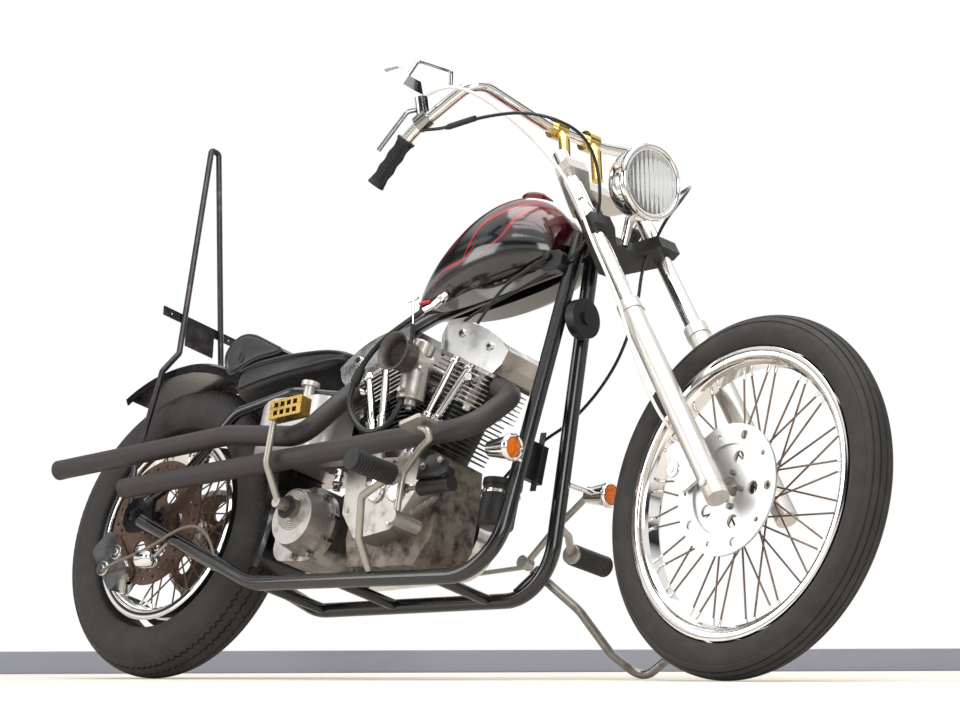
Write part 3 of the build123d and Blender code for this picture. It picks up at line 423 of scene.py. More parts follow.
# Tyre tread compound: black gone grey with road dust
TREAD_RUBBER = Grained(
    "tread_rubber", "22201f", "3b3632", "tyre_rubber", rough=(0.62, 0.85), patch=40.0, cover=(0.45, 0.75),
    grain=2.5,
)
# Bright turned steel of the front disc
BRIGHT_DISC = Finish("bright_disc", "cfccc6", "a39a8e", "bright_disc", metallic=1.0, rough=(0.2, 0.36), patch=30.0)
# Clear hose sleeve over braid: milky white
MILKY_SLEEVE = Finish("milky_sleeve", "e2e0da", "c9c3b8", "hose_plastic", rough=(0.15, 0.25), coat=0.4)
# Cable sheath: extruded black plastic
BLACK_SHEATH = Finish("black_sheath", "0e0e0f", "1c1b1b", "black_rubber", rough=(0.3, 0.42))
# Old brake line sleeve: brown and dusty
BROWN_SLEEVE = Finish("brown_sleeve", "6f6157", "8a7d70", "black_rubber", rough=(0.45, 0.6), patch=14.0)
# Skirting board: blue-grey emulsion
SKIRTING_PAINT = Finish("skirting_paint", "8b8d98", "7c7e89", "black_rubber", rough=(0.6, 0.7), patch=900.0)
LAMP_GLASS = Fluted("lamp_glass", "f4f6f6", "e6e9e9", "chrome", rough=(0.03, 0.06), transmission=0.85, ior=1.5)
MIRROR_GLASS = Finish("mirror_glass", "f2f3f3", "e6e8e8", "chrome", metallic=1.0, rough=(0.01, 0.03))
AMBER_LENS = Finish("amber_lens", "f07a12", "d8570a", "turn_signals_lens", rough=(0.08, 0.14), transmission=0.35)
RED_LEVER = Finish("red_lever", "c8341c", "a82612", "black_rubber", rough=(0.3, 0.4))


def select_only(*pieces: bpy.types.Object) -> None:
    """Selects these objects alone, with the first one active."""
    bpy.ops.object.select_all(action="DESELECT")
    for piece in pieces:
        piece.select_set(True)
    bpy.context.view_layer.objects.active = pieces[0]


@contextmanager
def editing(piece: bpy.types.Object) -> Iterator[None]:
    """Opens a piece in edit mode with all of it selected."""
    select_only(piece)
    bpy.ops.object.mode_set(mode="EDIT")
    bpy.ops.mesh.select_all(action="SELECT")
    yield
    bpy.ops.object.mode_set(mode="OBJECT")


def apply_modifier(piece: bpy.types.Object, kind: str, **settings) -> None:
    """Adds a modifier with these settings and applies it."""
    select_only(piece)
    modifier = piece.modifiers.new(kind.lower(), kind)
    for name, value in settings.items():
        setattr(modifier, name, value)
    bpy.ops.object.modifier_apply(modifier=modifier.name)


def smooth(piece: bpy.types.Object, angle: float = 32.0) -> None:
    """Shades a piece smooth where its faces meet at less than an angle."""
    select_only(piece)
    bpy.ops.object.shade_smooth_by_angle(angle=math.radians(angle))


def face_out(piece: bpy.types.Object, weld: float = 1e-6) -> None:
    """Welds a piece's doubles and turns its faces outwards."""
    with editing(piece):
        bpy.ops.mesh.remove_doubles(threshold=weld)
        bpy.ops.mesh.normals_make_consistent(inside=False)


def along(start: Point, end: Point) -> Matrix:
    """A place whose origin is start and whose Z axis points to end."""
    run = Vector(end) - Vector(start)
    return Matrix.Translation(start) @ run.to_track_quat("Z", "Y").to_matrix().to_4x4()


def hub_place(centre: Point) -> Matrix:
    """A wheel's own place: Z along the axle to the right side, X forward."""
    columns = Matrix(((1, 0, 0), (0, 0, -1), (0, 1, 0))).to_4x4()
    return Matrix.Translation(centre) @ columns


def named(name: str) -> bpy.types.Object:
    """Names the object that was just added, and returns it."""
    piece = bpy.context.active_object
    piece.name = name
    return piece


def rod(
    name: str, start: Point, end: Point, radius: float, sides: int = 24, bevel: float = 0.0
) -> bpy.types.Object:
    """A round bar between two points, with its rims bevelled.

    Args:
        name: the piece's name.
        start: one end, in millimetres on the upright machine.
        end: the other end.
        radius: the bar's radius.
        sides: how many flats; 6 gives a hexagon.
        bevel: width of the rim's bevel.

    Returns:
        The bar, still in millimetres.
    """
    length = (Vector(end) - Vector(start)).length
    bpy.ops.object.select_all(action="DESELECT")
    bpy.ops.mesh.primitive_cylinder_add(vertices=sides, radius=radius, depth=length, location=(0, 0, length / 2))
    piece = named(name)
    bpy.ops.object.transform_apply(location=True, rotation=True, scale=True)
    if bevel:
        apply_modifier(piece, "BEVEL", width=bevel, segments=2, limit_method="ANGLE", angle_limit=BEVEL_ANGLE)
    piece.data.transform(along(start, end))
    return piece


def turned(name: str, profile: Sequence[Pair], place: Matrix, steps: int = 48) -> bpy.types.Object:
    """A profile of radius and height spun about the Z axis of its place.

    Args:
        name: the piece's name.
        profile: points of radius and height, in millimetres.
        place: where the turning axis is.
        steps: how many steps make the full turn.

    Returns:
        The turned piece, still in millimetres.
    """
    bpy.ops.object.select_all(action="DESELECT")
    bpy.ops.mesh.primitive_circle_add(vertices=3, radius=1.0)
    piece = named(name)
    piece.data.clear_geometry()
    points = [(radius, 0.0, height) for radius, height in profile]
    piece.data.from_pydata(points, [(i, i + 1) for i in range(len(points) - 1)], [])
    with editing(piece):
        bpy.ops.mesh.spin(steps=steps, angle=math.tau, center=(0, 0, 0), axis=(0, 0, 1))
    face_out(piece, 1e-3)
    piece.data.transform(place)
    return piece


def pipe(
    name: str, points: Sequence[Point], radius: float, closed: bool = False, sides: int = 4
) -> bpy.types.Object:
    """A smooth tube whose line is drawn by these control points.

    Args:
        name: the piece's name.
        points: the control points, in millimetres.
        radius: the tube's radius.
        closed: whether the line runs round to its start.
        sides: the bevel's resolution.

    Returns:
        The tube as a mesh, still in millimetres.
    """
    curve = bpy.data.curves.new(name, "CURVE")
    curve.dimensions = "3D"
    curve.bevel_depth = radius
    curve.bevel_resolution = sides
    curve.use_fill_caps = True
    curve.resolution_u = 10
    spline = curve.splines.new("NURBS")
    spline.points.add(len(points) - 1)
    for slot, point in zip(spline.points, points):
        slot.co = (*point, 1.0)
    spline.order_u = 3
    spline.use_cyclic_u = closed
    spline.use_endpoint_u = not closed
    piece = bpy.data.objects.new(name, curve)
    bpy.context.scene.collection.objects.link(piece)
    select_only(piece)
    bpy.ops.object.convert(target="MESH")
    piece = named(name)
    smooth(piece, 60)
    return piece


def slab(name: str, outline: Sequence[Pair], place: Matrix, thick: float, bevel: float = 0.0) -> bpy.types.Object:
    """A flat outline raised to a thickness along the Z axis of its place.

    Args:
        name: the piece's name.
        outline: the corners, in millimetres.
        place: where the outline lies.
        thick: how far it is raised.
        bevel: width of the bevel on its edges.

    Returns:
        The slab, still in millimetres.
    """
    bpy.ops.object.select_all(action="DESELECT")
    bpy.ops.mesh.primitive_circle_add(vertices=len(outline), fill_type="NGON")
    piece = named(name)
    for vertex, (across, up) in zip(piece.data.vertices, outline):
        vertex.co = (across, up, 0)
    with editing(piece):
        bpy.ops.mesh.extrude_region_move(TRANSFORM_OT_translate={"value": (0, 0, thick)})
        bpy.ops.mesh.select_all(action="SELECT")
        bpy.ops.mesh.normals_make_consistent(inside=False)
    if bevel:
        apply_modifier(piece, "BEVEL", width=bevel, segments=2, limit_method="ANGLE", angle_limit=BEVEL_ANGLE)
    piece.data.transform(place)
    return piece


def lofted(name: str, rings: Sequence[Sequence[Point]]) -> bpy.types.Object:
    """A closed form through rings of points, extruded from one to the next.

    Args:
        name: the piece's name.
        rings: the rings, each with the same count of points.

    Returns:
        The form, still in millimetres.
    """
    count = len(rings[0])
    bpy.ops.object.select_all(action="DESELECT")
    bpy.ops.mesh.primitive_circle_add(vertices=count, fill_type="NGON")
    piece = named(name)
    with editing(piece):
        for _ in rings[1:]:
            bpy.ops.mesh.extrude_region_move(TRANSFORM_OT_translate={"value": (0, 0, 1)})
    levels = [round(v.co.z) for v in piece.data.vertices]
    bearing = [math.atan2(v.co.y, v.co.x) for v in piece.data.vertices]
    order = sorted(range(count), key=lambda i: bearing[i])
    rank = {round(bearing[i], 4): k for k, i in enumerate(order)}
    for vertex, level, angle in zip(piece.data.vertices, levels, bearing):
        vertex.co = rings[level][rank[round(angle, 4)]]
    face_out(piece)
    return piece


def joined(name: str, pieces: Sequence[bpy.types.Object]) -> bpy.types.Object:
    """Joins pieces into one mesh under one name."""
    select_only(*pieces)
    if len(pieces) > 1:
        bpy.ops.object.join()
    return named(name)


def copy_of(piece: bpy.types.Object, move: Matrix) -> bpy.types.Object:
    """A copy of a piece with a mesh of its own, moved."""
    twin = piece.copy()
    twin.data = piece.data.copy()
    bpy.context.scene.collection.objects.link(twin)
    twin.data.transform(move)
    return twin


def hand_over(
    piece: bpy.types.Object, finish: Finish, body: Body, place: Matrix = PARKED, replaces: Sequence[str] = ()
) -> bpy.types.Object:
    """Sets a piece in place, dresses it and lets it ride.

    Args:
        piece: the piece, in millimetres on the upright machine.
        finish: its finish.
        body: the body that carries it.
        place: how the upright machine stands.
        replaces: the nodes that it stands for.

    Returns:
        The piece.
    """
    piece.data.transform(place)
    if not piece.data.materials:
        piece.data.materials.append(finish.material())
    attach(piece, body.value)
    if replaces:
        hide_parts(*replaces)
    LOG.info("%s: %d faces on %s", piece.name, len(piece.data.polygons), body.value)
    return piece


def cylinder_place(tilt: float, height: float) -> Matrix:
    """The place across a cylinder's axis, at a height above the crank."""
    angle = math.radians(tilt)
    origin = CRANK + Vector((math.sin(angle), 0, math.cos(angle))) * height
    return Matrix.Translation(origin) @ Matrix.Rotation(angle, 4, "Y")


@dataclass
class Studio:
    """Floor, lights and the camera at the photograph's place."""

    lens: float = 106.97
    eye: Point = (4155.15, -4310.47, 47.0)
    azimuth: float = 43.97718
    elevation: float = 5.92756
    roll: float = -0.19229
    floor: str = "d9cfc3"
    wall_distance: float = 8380.0
    skirting_height: float = 65.0
    soft_stops: tuple = ((0.0, "8d8a86"), (0.12, "a6a4a2"), (0.3, "dededf"), (0.62, "ffffff"))
    band_stops: tuple = (
        (0.0, "4a4744"), (0.1, "5c5a58"), (0.17, "eeeeee"), (0.3, "ffffff"),
        (0.4, "4c4c50"), (0.55, "2a2a2d"), (0.66, "f4f4f4"), (1.0, "ffffff"),
    )

    def camera(self) -> None:
        """Sets the camera low on the ground, looking a little up."""
        data = bpy.data.cameras.new("floor_level_camera")
        data.lens = self.lens
        data.sensor_width = 36.0
        data.clip_start = 0.05
        data.clip_end = 200.0
        eye = bpy.data.objects.new("floor_level_camera", data)
        bpy.context.scene.collection.objects.link(eye)
        azimuth, elevation, roll = (math.radians(a) for a in (self.azimuth, self.elevation, self.roll))
        level = math.cos(elevation)
        ahead = Vector((-math.sin(azimuth) * level, math.cos(azimuth) * level, math.sin(elevation)))
        side = Vector((math.cos(azimuth), math.sin(azimuth), 0))
        up = side.cross(ahead)
        right = side * math.cos(roll) + up * math.sin(roll)
        top = up * math.cos(roll) - side * math.sin(roll)
        turn = Matrix((right, top, -ahead)).transposed().to_4x4()
        eye.matrix_world = Matrix.Translation(Vector(self.eye) * MM) @ turn
        bpy.context.scene.camera = eye

    def ground(self) -> None:
        """Lays the pale floor."""
        bpy.ops.object.select_all(action="DESELECT")
        bpy.ops.mesh.primitive_plane_add(size=120.0, location=(0, 0, -0.0005))
        floor = named("floor")
        material = bpy.data.materials.new("pale_screed")
        material.use_nodes = True
        tree = material.node_tree
        shader = tree.nodes["Principled BSDF"]
        shader.inputs["Roughness"].default_value = 0.9
        place = add_node(tree, "ShaderNodeTexCoord")
        spot = {"Vector": place.outputs["Object"]}
        cloud = add_node(tree, "ShaderNodeTexNoise", {"@Scale": 1.2, "@Detail": 6.0}, spot)
        tint = add_node(
            tree,
            "ShaderNodeMix",
            {"data_type": "RGBA", "@6": linear(self.floor), "@7": linear("ece4da")},
            {0: cloud.outputs["Fac"]},
        )
        tree.links.new(tint.outputs[2], shader.inputs["Base Color"])
        floor.data.materials.append(material)

    def skirting(self) -> None:
        """Sets the grey skirting board where the floor ends, far behind the machine."""
        azimuth = math.radians(self.azimuth)
        ahead = Vector((-math.sin(azimuth), math.cos(azimuth), 0)) * self.wall_distance
        centre = Vector((self.eye[0], self.eye[1], 0)) + ahead
        place = Matrix.Translation(centre) @ Matrix.Rotation(azimuth, 4, "Z")
        outline = [(-9000, 0), (9000, 0), (9000, 30), (-9000, 30)]
        board = slab("skirting", outline, Matrix.Identity(4), self.skirting_height, 3.0)
        board.data.transform(Matrix.Scale(MM, 4) @ place)
        board.data.materials.append(SKIRTING_PAINT.material())

    def lamp(self, name: str, at: Point, aim: Point, size: float, power: float) -> None:
        """Hangs one soft square light.

        Args:
            name: the light's name.
            at: where it hangs, in metres.
            aim: the point that it faces.
            size: its side in metres.
            power: its power in watts.
        """
        data = bpy.data.lights.new(name, "AREA")
        data.size = size
        data.energy = power
        light = bpy.data.objects.new(name, data)
        bpy.context.scene.collection.objects.link(light)
        run = Vector(aim) - Vector(at)
        light.matrix_world = Matrix.Translation(at) @ run.to_track_quat("-Z", "Y").to_matrix().to_4x4()

    def ramp(self, tree: bpy.types.NodeTree, height: bpy.types.Node, stops: Sequence[tuple[float, str]]):
        """Adds a colour ramp over the height.

        Args:
            tree: the world's node tree.
            height: the node that gives the height, from 0 to 1.
            stops: place and hex colour of each stop.

        Returns:
            The ramp's node.
        """
        node = add_node(tree, "ShaderNodeValToRGB", {}, {"Fac": height.outputs["Result"]})
        while len(node.color_ramp.elements) < len(stops):
            node.color_ramp.elements.new(0.5)
        for element, (at, code) in zip(node.color_ramp.elements, stops):
            element.position = at
            element.color = linear(code)
        return node

    def sky(self) -> None:
        """Fills the room: soft light for the object, a white wall for the camera and for glass."""
        world = bpy.data.worlds.new("studio")
        bpy.context.scene.world = world
        world.use_nodes = True
        tree = world.node_tree
        tree.nodes.clear()
        place = add_node(tree, "ShaderNodeTexCoord")
        split = add_node(tree, "ShaderNodeSeparateXYZ", {}, {"Vector": place.outputs["Generated"]})
        span = {"@From Min": -0.1, "@From Max": 0.9}
        height = add_node(tree, "ShaderNodeMapRange", span, {"Value": split.outputs["Z"]})
        ramp = self.ramp(tree, height, self.soft_stops)
        soft = add_node(tree, "ShaderNodeBackground", {"@Strength": 0.75}, {"Color": ramp.outputs["Color"]})
        bands = self.ramp(tree, height, self.band_stops)
        mirrored = add_node(tree, "ShaderNodeBackground", {"@Strength": 1.0}, {"Color": bands.outputs["Color"]})
        white = add_node(tree, "ShaderNodeBackground", {"@Color": linear("ffffff"), "@Strength": 1.0})
        rays = add_node(tree, "ShaderNodeLightPath")
        seen = add_node(
            tree,
            "ShaderNodeMath",
            {"operation": "MAXIMUM"},
            {0: rays.outputs["Is Camera Ray"], 1: rays.outputs["Is Transmission Ray"]},
        )
        room = add_node(
            tree,
            "ShaderNodeMixShader",
            {},
            {0: rays.outputs["Is Glossy Ray"], 1: soft.outputs["Background"], 2: mirrored.outputs["Background"]},
        )
        mix = add_node(
            tree,
            "ShaderNodeMixShader",
            {},
            {0: seen.outputs["Value"], 1: room.outputs["Shader"], 2: white.outputs["Background"]},
        )
        add_node(tree, "ShaderNodeOutputWorld", {}, {"Surface": mix.outputs["Shader"]})

    def build(self) -> None:
        """Sets up the whole studio."""
        bpy.context.scene.view_settings.view_transform = "Standard"
        self.camera()
        self.ground()
        self.skirting()
        self.sky()
        self.lamp("overhead_softbox", (0.3, -0.6, 3.6), (0.0, 0.0, 0.6), 3.2, 105.0)
        self.lamp("front_softbox", (3.6, -2.6, 1.9), (0.2, 0.0, 0.6), 2.0, 60.0)
        self.lamp("side_softbox", (-2.4, -3.4, 1.8), (-0.2, 0.0, 0.5), 2.0, 50.0)
        self.lamp("rear_softbox", (-1.5, 3.4, 2.4), (0.0, 0.0, 0.6), 2.4, 40.0)


@dataclass
class SolidDress:
    """The solids with the finish that each gets; one row per run of nodes with one finish."""

    nodes: tuple[tuple[Finish, str], ...] = (
        (FRAME_ENAMEL, "frame_neck frame_backbone frame_right_cradle frame_left_cradle frame_stays rear_fender "
         "frame_crossmembers stand_lug"),
        (TANK_LACQUER, "fuel_tank"),
        (SILVER_LACQUER, "oil_tank"),
        (DARK_BAR, "sissy_bar"),
        (CAST_ALUMINIUM, "crankcase"),
        (HEAT_BLACK, "cylinders"),
        (CAST_ALUMINIUM, "heads"),
        (POLISHED_ALUMINIUM, "rocker_boxes"),
        (CHROME, "pushrod_tubes"),
        (CAST_ALUMINIUM, "carburettor"),
        (BELL_GREY, "intake_bell"),
        (CAST_ALUMINIUM, "gearbox"),
        (WORN_STEEL, "kick_starter"),
        (POLISHED_ALUMINIUM, "primary_cover"),
        (PIPE_PAINT, "exhausts"),
        (HEAT_BLACK, "oil_filter regulator horn"),
        (CHROME, "turn_signals"),
        (WORN_STEEL, "footpegs brake_pedal"),
        (HEAT_BLACK, "brake_master"),
        (POLISHED_ALUMINIUM, "rear_brake"),
        (HEAT_BLACK, "triple_trees"),
        (CHROME, "fork_tubes"),
        (SILVER_LACQUER, "fork_sliders"),
        (CHROME, "headlamp"),
        (PALE_BRASS, "risers"),
        (CHROME, "handlebar"),
        (GREY_CHROME, "bar_controls mirror"),
        (POLISHED_ALUMINIUM, "front_caliper"),
        (BRIGHT_DISC, "front_disc"),
        (RUSTED_STEEL, "rear_disc rear_sprocket"),
        (DRAWN_STEEL, "side_stand"),
        (WORN_STEEL, "drive_chain"),
        (CHROME, "front_rim rear_rim"),
        (CAST_ALUMINIUM, "front_hub rear_hub"),
        (ZINC_SPOKE, "front_spokes rear_spokes"),
        (TREAD_RUBBER, "front_tyre rear_tyre"),
        (COWHIDE, "seat"),
        (NITRILE, "grips"),
        (MILKY_SLEEVE, "brake_hose"),
    )

    def smooth_twin(self, node: str, finish: Finish) -> bpy.types.Object:
        """A welded, smooth-shaded copy of a solid, which stands for it.

        Args:
            node: the solid's name.
            finish: its finish.

        Returns:
            The copy.
        """
        source = frame["nodes"][node]
        twin = bpy.data.objects.new(f"{node}_skin", source.data.copy())
        bpy.context.scene.collection.objects.link(twin)
        twin.data.materials.clear()
        select_only(twin)
        bpy.ops.mesh.customdata_custom_splitnormals_clear()
        with editing(twin):
            bpy.ops.mesh.remove_doubles(threshold=WELD)
        smooth(twin, 28)
        return hand_over(twin, finish, Body(source["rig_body"]), Matrix.Identity(4), (node,))

    def build(self, skip: set[str]) -> dict[str, bpy.types.Object]:
        """Dresses every solid but those in skip, which other pieces stand for."""
        skins = {}
        for finish, nodes in self.nodes:
            skins |= {node: self.smooth_twin(node, finish) for node in nodes.split() if node not in skip}
        # Darker casting on all of the crankcase but the timing cover's face: partly oil and dirt, partly painted
        # shade
        self.repaint(skins["crankcase"], DIRTY_SHADED_CASTING, PARKED, lambda spot: spot.y > -64)
        self.repaint(skins["kick_starter"], GOLD_ANODISED, PARKED, lambda spot: spot.z > 474)
        self.repaint(skins["triple_trees"], SILVER_LACQUER, STEERED, lambda spot: self.up_the_stem(spot) > 1190)
        self.repaint(skins["rocker_boxes"], CAST_ALUMINIUM, PARKED, lambda spot: abs(spot.y) < 60 and spot.z < 690)
        self.repaint(skins["heads"], HEAT_BLACK, PARKED, lambda spot: abs(spot.y) < 40)
        return skins

    def up_the_stem(self, spot: Vector) -> float:
        """How far up the steering stem a spot lies, from the ground."""
        rake = math.radians(STANCE.rake)
        return (spot - STANCE.foot).dot(Vector((-math.sin(rake), 0, math.cos(rake))))

    def repaint(
        self, skin: bpy.types.Object, finish: Finish, place: Matrix, inside: Callable[[Vector], bool]
    ) -> None:
        """Gives the faces of a skin that lie inside a region another finish.

        Args:
            skin: the skin, in the row's frame.
            finish: the region's finish.
            place: how the upright machine stands.
            inside: tells whether a spot on the upright machine, in millimetres, is in the region.
        """
        skin.data.materials.append(finish.material())
        back = place.inverted()
        for face in skin.data.polygons:
            if inside(back @ face.center):
                face.material_index = 1


@dataclass
class Tyre:
    """A tyre with its tread, turned about its hub."""

    name: str
    node: str
    body: Body
    place: Matrix
    centre: Point
    outer: float
    crown: float
    limit: float
    grooves: tuple[float, ...]
    groove: Pair
    teeth: int
    wander: float
    shoulder: float
    steps: int

    def section(self) -> list[Pair]:
        """Angle and depth of the section's points, from one bead to the other."""
        half, deep = self.groove
        points: list[Pair] = []
        for at in self.grooves:
            points += [(at - half, 0.0), (at - 0.55 * half, deep), (at + 0.55 * half, deep), (at + half, 0.0)]
        edge = self.shoulder
        points += [(-edge, 0.0), (edge, 0.0), (-edge - 2.0, 2.4), (edge + 2.0, 2.4)]
        step = 7.0
        angle = -self.limit
        while angle <= self.limit:
            outside = abs(angle) > edge + 3
            clear = all(abs(angle - at) > half + 1.5 for at in self.grooves)
            if outside or (clear and abs(angle) < edge - 2):
                points.append((angle, 2.4 if outside else 0.0))
            angle += step
        return sorted(points)

    def build(self) -> bpy.types.Object:
        """Makes the tyre.

        Returns:
            The finished tyre.
        """
        ring = self.outer - self.crown
        section = self.section()
        profile = []
        for angle, deep in section:
            turn = math.radians(angle)
            reach = self.crown - deep
            profile.append((ring + reach * math.cos(turn), reach * math.sin(turn)))
        inner = ring - self.crown * 0.62
        low, high = profile[0][1], profile[-1][1]
        profile = [(inner, low * 0.9)] + profile + [(inner, high * 0.9), (inner, low * 0.9)]
        piece = turned(self.name, profile, Matrix.Identity(4), self.steps)
        for vertex in piece.data.vertices:
            radius = math.hypot(vertex.co.x, vertex.co.y)
            angle = math.degrees(math.atan2(vertex.co.z, radius - ring))
            if not self.wander or abs(angle) > self.shoulder + 2.5 or radius < ring:
                continue
            around = math.atan2(vertex.co.y, vertex.co.x) * self.teeth / math.tau
            shift = math.radians(self.wander * (2 * abs(2 * (around - math.floor(around + 0.5))) - 1))
            reach = math.hypot(vertex.co.z, radius - ring)
            new_angle = math.radians(angle) + shift
            scale = (ring + reach * math.cos(new_angle)) / radius
            vertex.co = (vertex.co.x * scale, vertex.co.y * scale, reach * math.sin(new_angle))
        smooth(piece, 24)
        piece.data.transform(hub_place(self.centre))
        return hand_over(piece, TREAD_RUBBER, self.body, self.place, (self.node,))


FRONT_HUB = (STANCE.wheelbase, 0.0, STANCE.front_radius)
REAR_HUB = (0.0, 0.0, STANCE.rear_radius)
# Name, hub centre, stance, body, bead radius, flange radius and half width
WHEEL_SIZES = (
    ("front", FRONT_HUB, STEERED, Body.FRONT_WHEEL, 267.0, 281.5, 31.0),
    ("rear", REAR_HUB, PARKED, Body.REAR_WHEEL, 203.0, 218.5, 48.0),
)


@dataclass
class Wheels:
    """Tyres, rims, hubs, laced spokes with their nipples, and the bolts on the discs."""

    bore: float = 9.5
    hub_radius: float = 40.0
    hub_step: float = math.radians(18)
    sweep: float = math.radians(52)
    bias: float = math.radians(9)
    repeats: int = 10

    def tyres(self) -> None:
        """Makes the ribbed front tyre and the sawtooth rear one."""
        Tyre(
            "front_tread", "front_tyre", Body.FRONT_WHEEL, STEERED, FRONT_HUB, STANCE.front_radius, 40.0, 126.0,
            (-40.0, -21.0, 0.0, 21.0, 40.0), (2.6, 2.6), 0, 0.0, 58.0, 180,
        ).build()
        Tyre(
            "rear_tread", "rear_tyre", Body.REAR_WHEEL, PARKED, REAR_HUB, STANCE.rear_radius, 64.0, 132.0,
            (-33.0, -12.0, 12.0, 33.0), (2.2, 4.0), 104, 2.6, 50.0, 208,
        ).build()

    def rims(self) -> None:
        """Turns the drop-centre rims and the hubs."""
        for name, centre, place, body, bead, flange, half in WHEEL_SIZES:
            profile = [
                (bead - 16, -half + 17), (bead - 16, half - 17), (bead - 12, half - 14), (bead - 6, half - 10),
                (bead - 5, half - 3), (bead - 3, half - 0.6), (bead, half), (flange - 1.5, half), (flange, half - 1),
                (flange, half - 3), (bead, half - 6), (bead, 6 - half), (flange, 3 - half), (flange, 1 - half),
                (flange - 1.5, -half), (bead, -half), (bead - 3, 0.6 - half), (bead - 5, 3 - half),
                (bead - 6, 10 - half), (bead - 12, 14 - half), (bead - 16, 17 - half),
            ]
            rim = turned(f"{name}_rim_bright", profile, hub_place(centre), 144)
            smooth(rim, 50)
            hand_over(rim, CHROME, body, place, (f"{name}_rim",))
            reach = half - 4
            side = [
                (self.bore, reach + 8), (24, reach + 8), (26, reach), (45, reach - 1), (46, reach - 2),
                (46, reach - 5), (44, reach - 6.6), (31, reach - 11), (28, reach - 15),
            ]
            back = [(radius, -height) for radius, height in reversed(side)]
            hub = turned(f"{name}_hub_cast", side + back + side[:1], hub_place(centre), 64)
            smooth(hub, 40)
            hand_over(hub, CAST_ALUMINIUM, body, place, (f"{name}_hub",))

    def spokes(self) -> None:
        """Laces each wheel with forty headed spokes and their nipples."""
        for name, centre, place, body, bead, _, half in WHEEL_SIZES:
            wires, nipples = [], []
            for side in (-1, 1):
                for turn in (-1, 1):
                    hub_angle = self.hub_step if side > 0 else 0.0
                    rim_angle = hub_angle + turn * self.sweep + self.bias
                    level, radius = side * (half - 8 - 3 * turn), bead - 15
                    start = Vector((math.cos(hub_angle), math.sin(hub_angle), 0)) * self.hub_radius
                    start.z = level
                    end = Vector((radius * math.cos(rim_angle), radius * math.sin(rim_angle), side * 5))
                    run = (end - start).normalized()
                    wires.append(rod("wire", tuple(start), tuple(end), 1.9, 8))
                    head = Vector((0, 0, side * turn))
                    wires.append(rod("head", tuple(start), tuple(start - head * 2.6), 3.4, 10, 0.6))
                    nipples.append(rod("nipple", tuple(end - run * 15), tuple(end), 3.2, 8))
            for label, made, finish, nodes in (
                ("spokes_laced", wires, ZINC_SPOKE, (f"{name}_spokes",)),
                ("nipples", nipples, CHROME, ()),
            ):
                group = joined("group", made)
                turns = [Matrix.Rotation(math.tau * k / self.repeats, 4, "Z") for k in range(1, self.repeats)]
                piece = joined(f"{name}_{label}", [group] + [copy_of(group, turn) for turn in turns])
                piece.data.transform(hub_place(centre))
                smooth(piece, 50)
                hand_over(piece, finish, body, place, nodes)

    def disc_bolts(self) -> None:
        """Sets the bolts that hold the discs."""
        for name, centre, place, body, ring, count, level in (
            ("front_disc_bolts", FRONT_HUB, STEERED, Body.FRONT_WHEEL, 34.0, 5, 50.0),
            ("rear_disc_bolts", REAR_HUB, PARKED, Body.REAR_WHEEL, 36.0, 5, 77.0),
        ):
            made = []
            for k in range(count):
                angle = math.tau * k / count
                x, y = ring * math.cos(angle), ring * math.sin(angle)
                made.append(rod("bolt", (x, y, level), (x, y, level + 6), 6.5, 6, 0.8))
            piece = joined(name, made)
            piece.data.transform(hub_place(centre))
            hand_over(piece, DRAWN_STEEL, body, place)


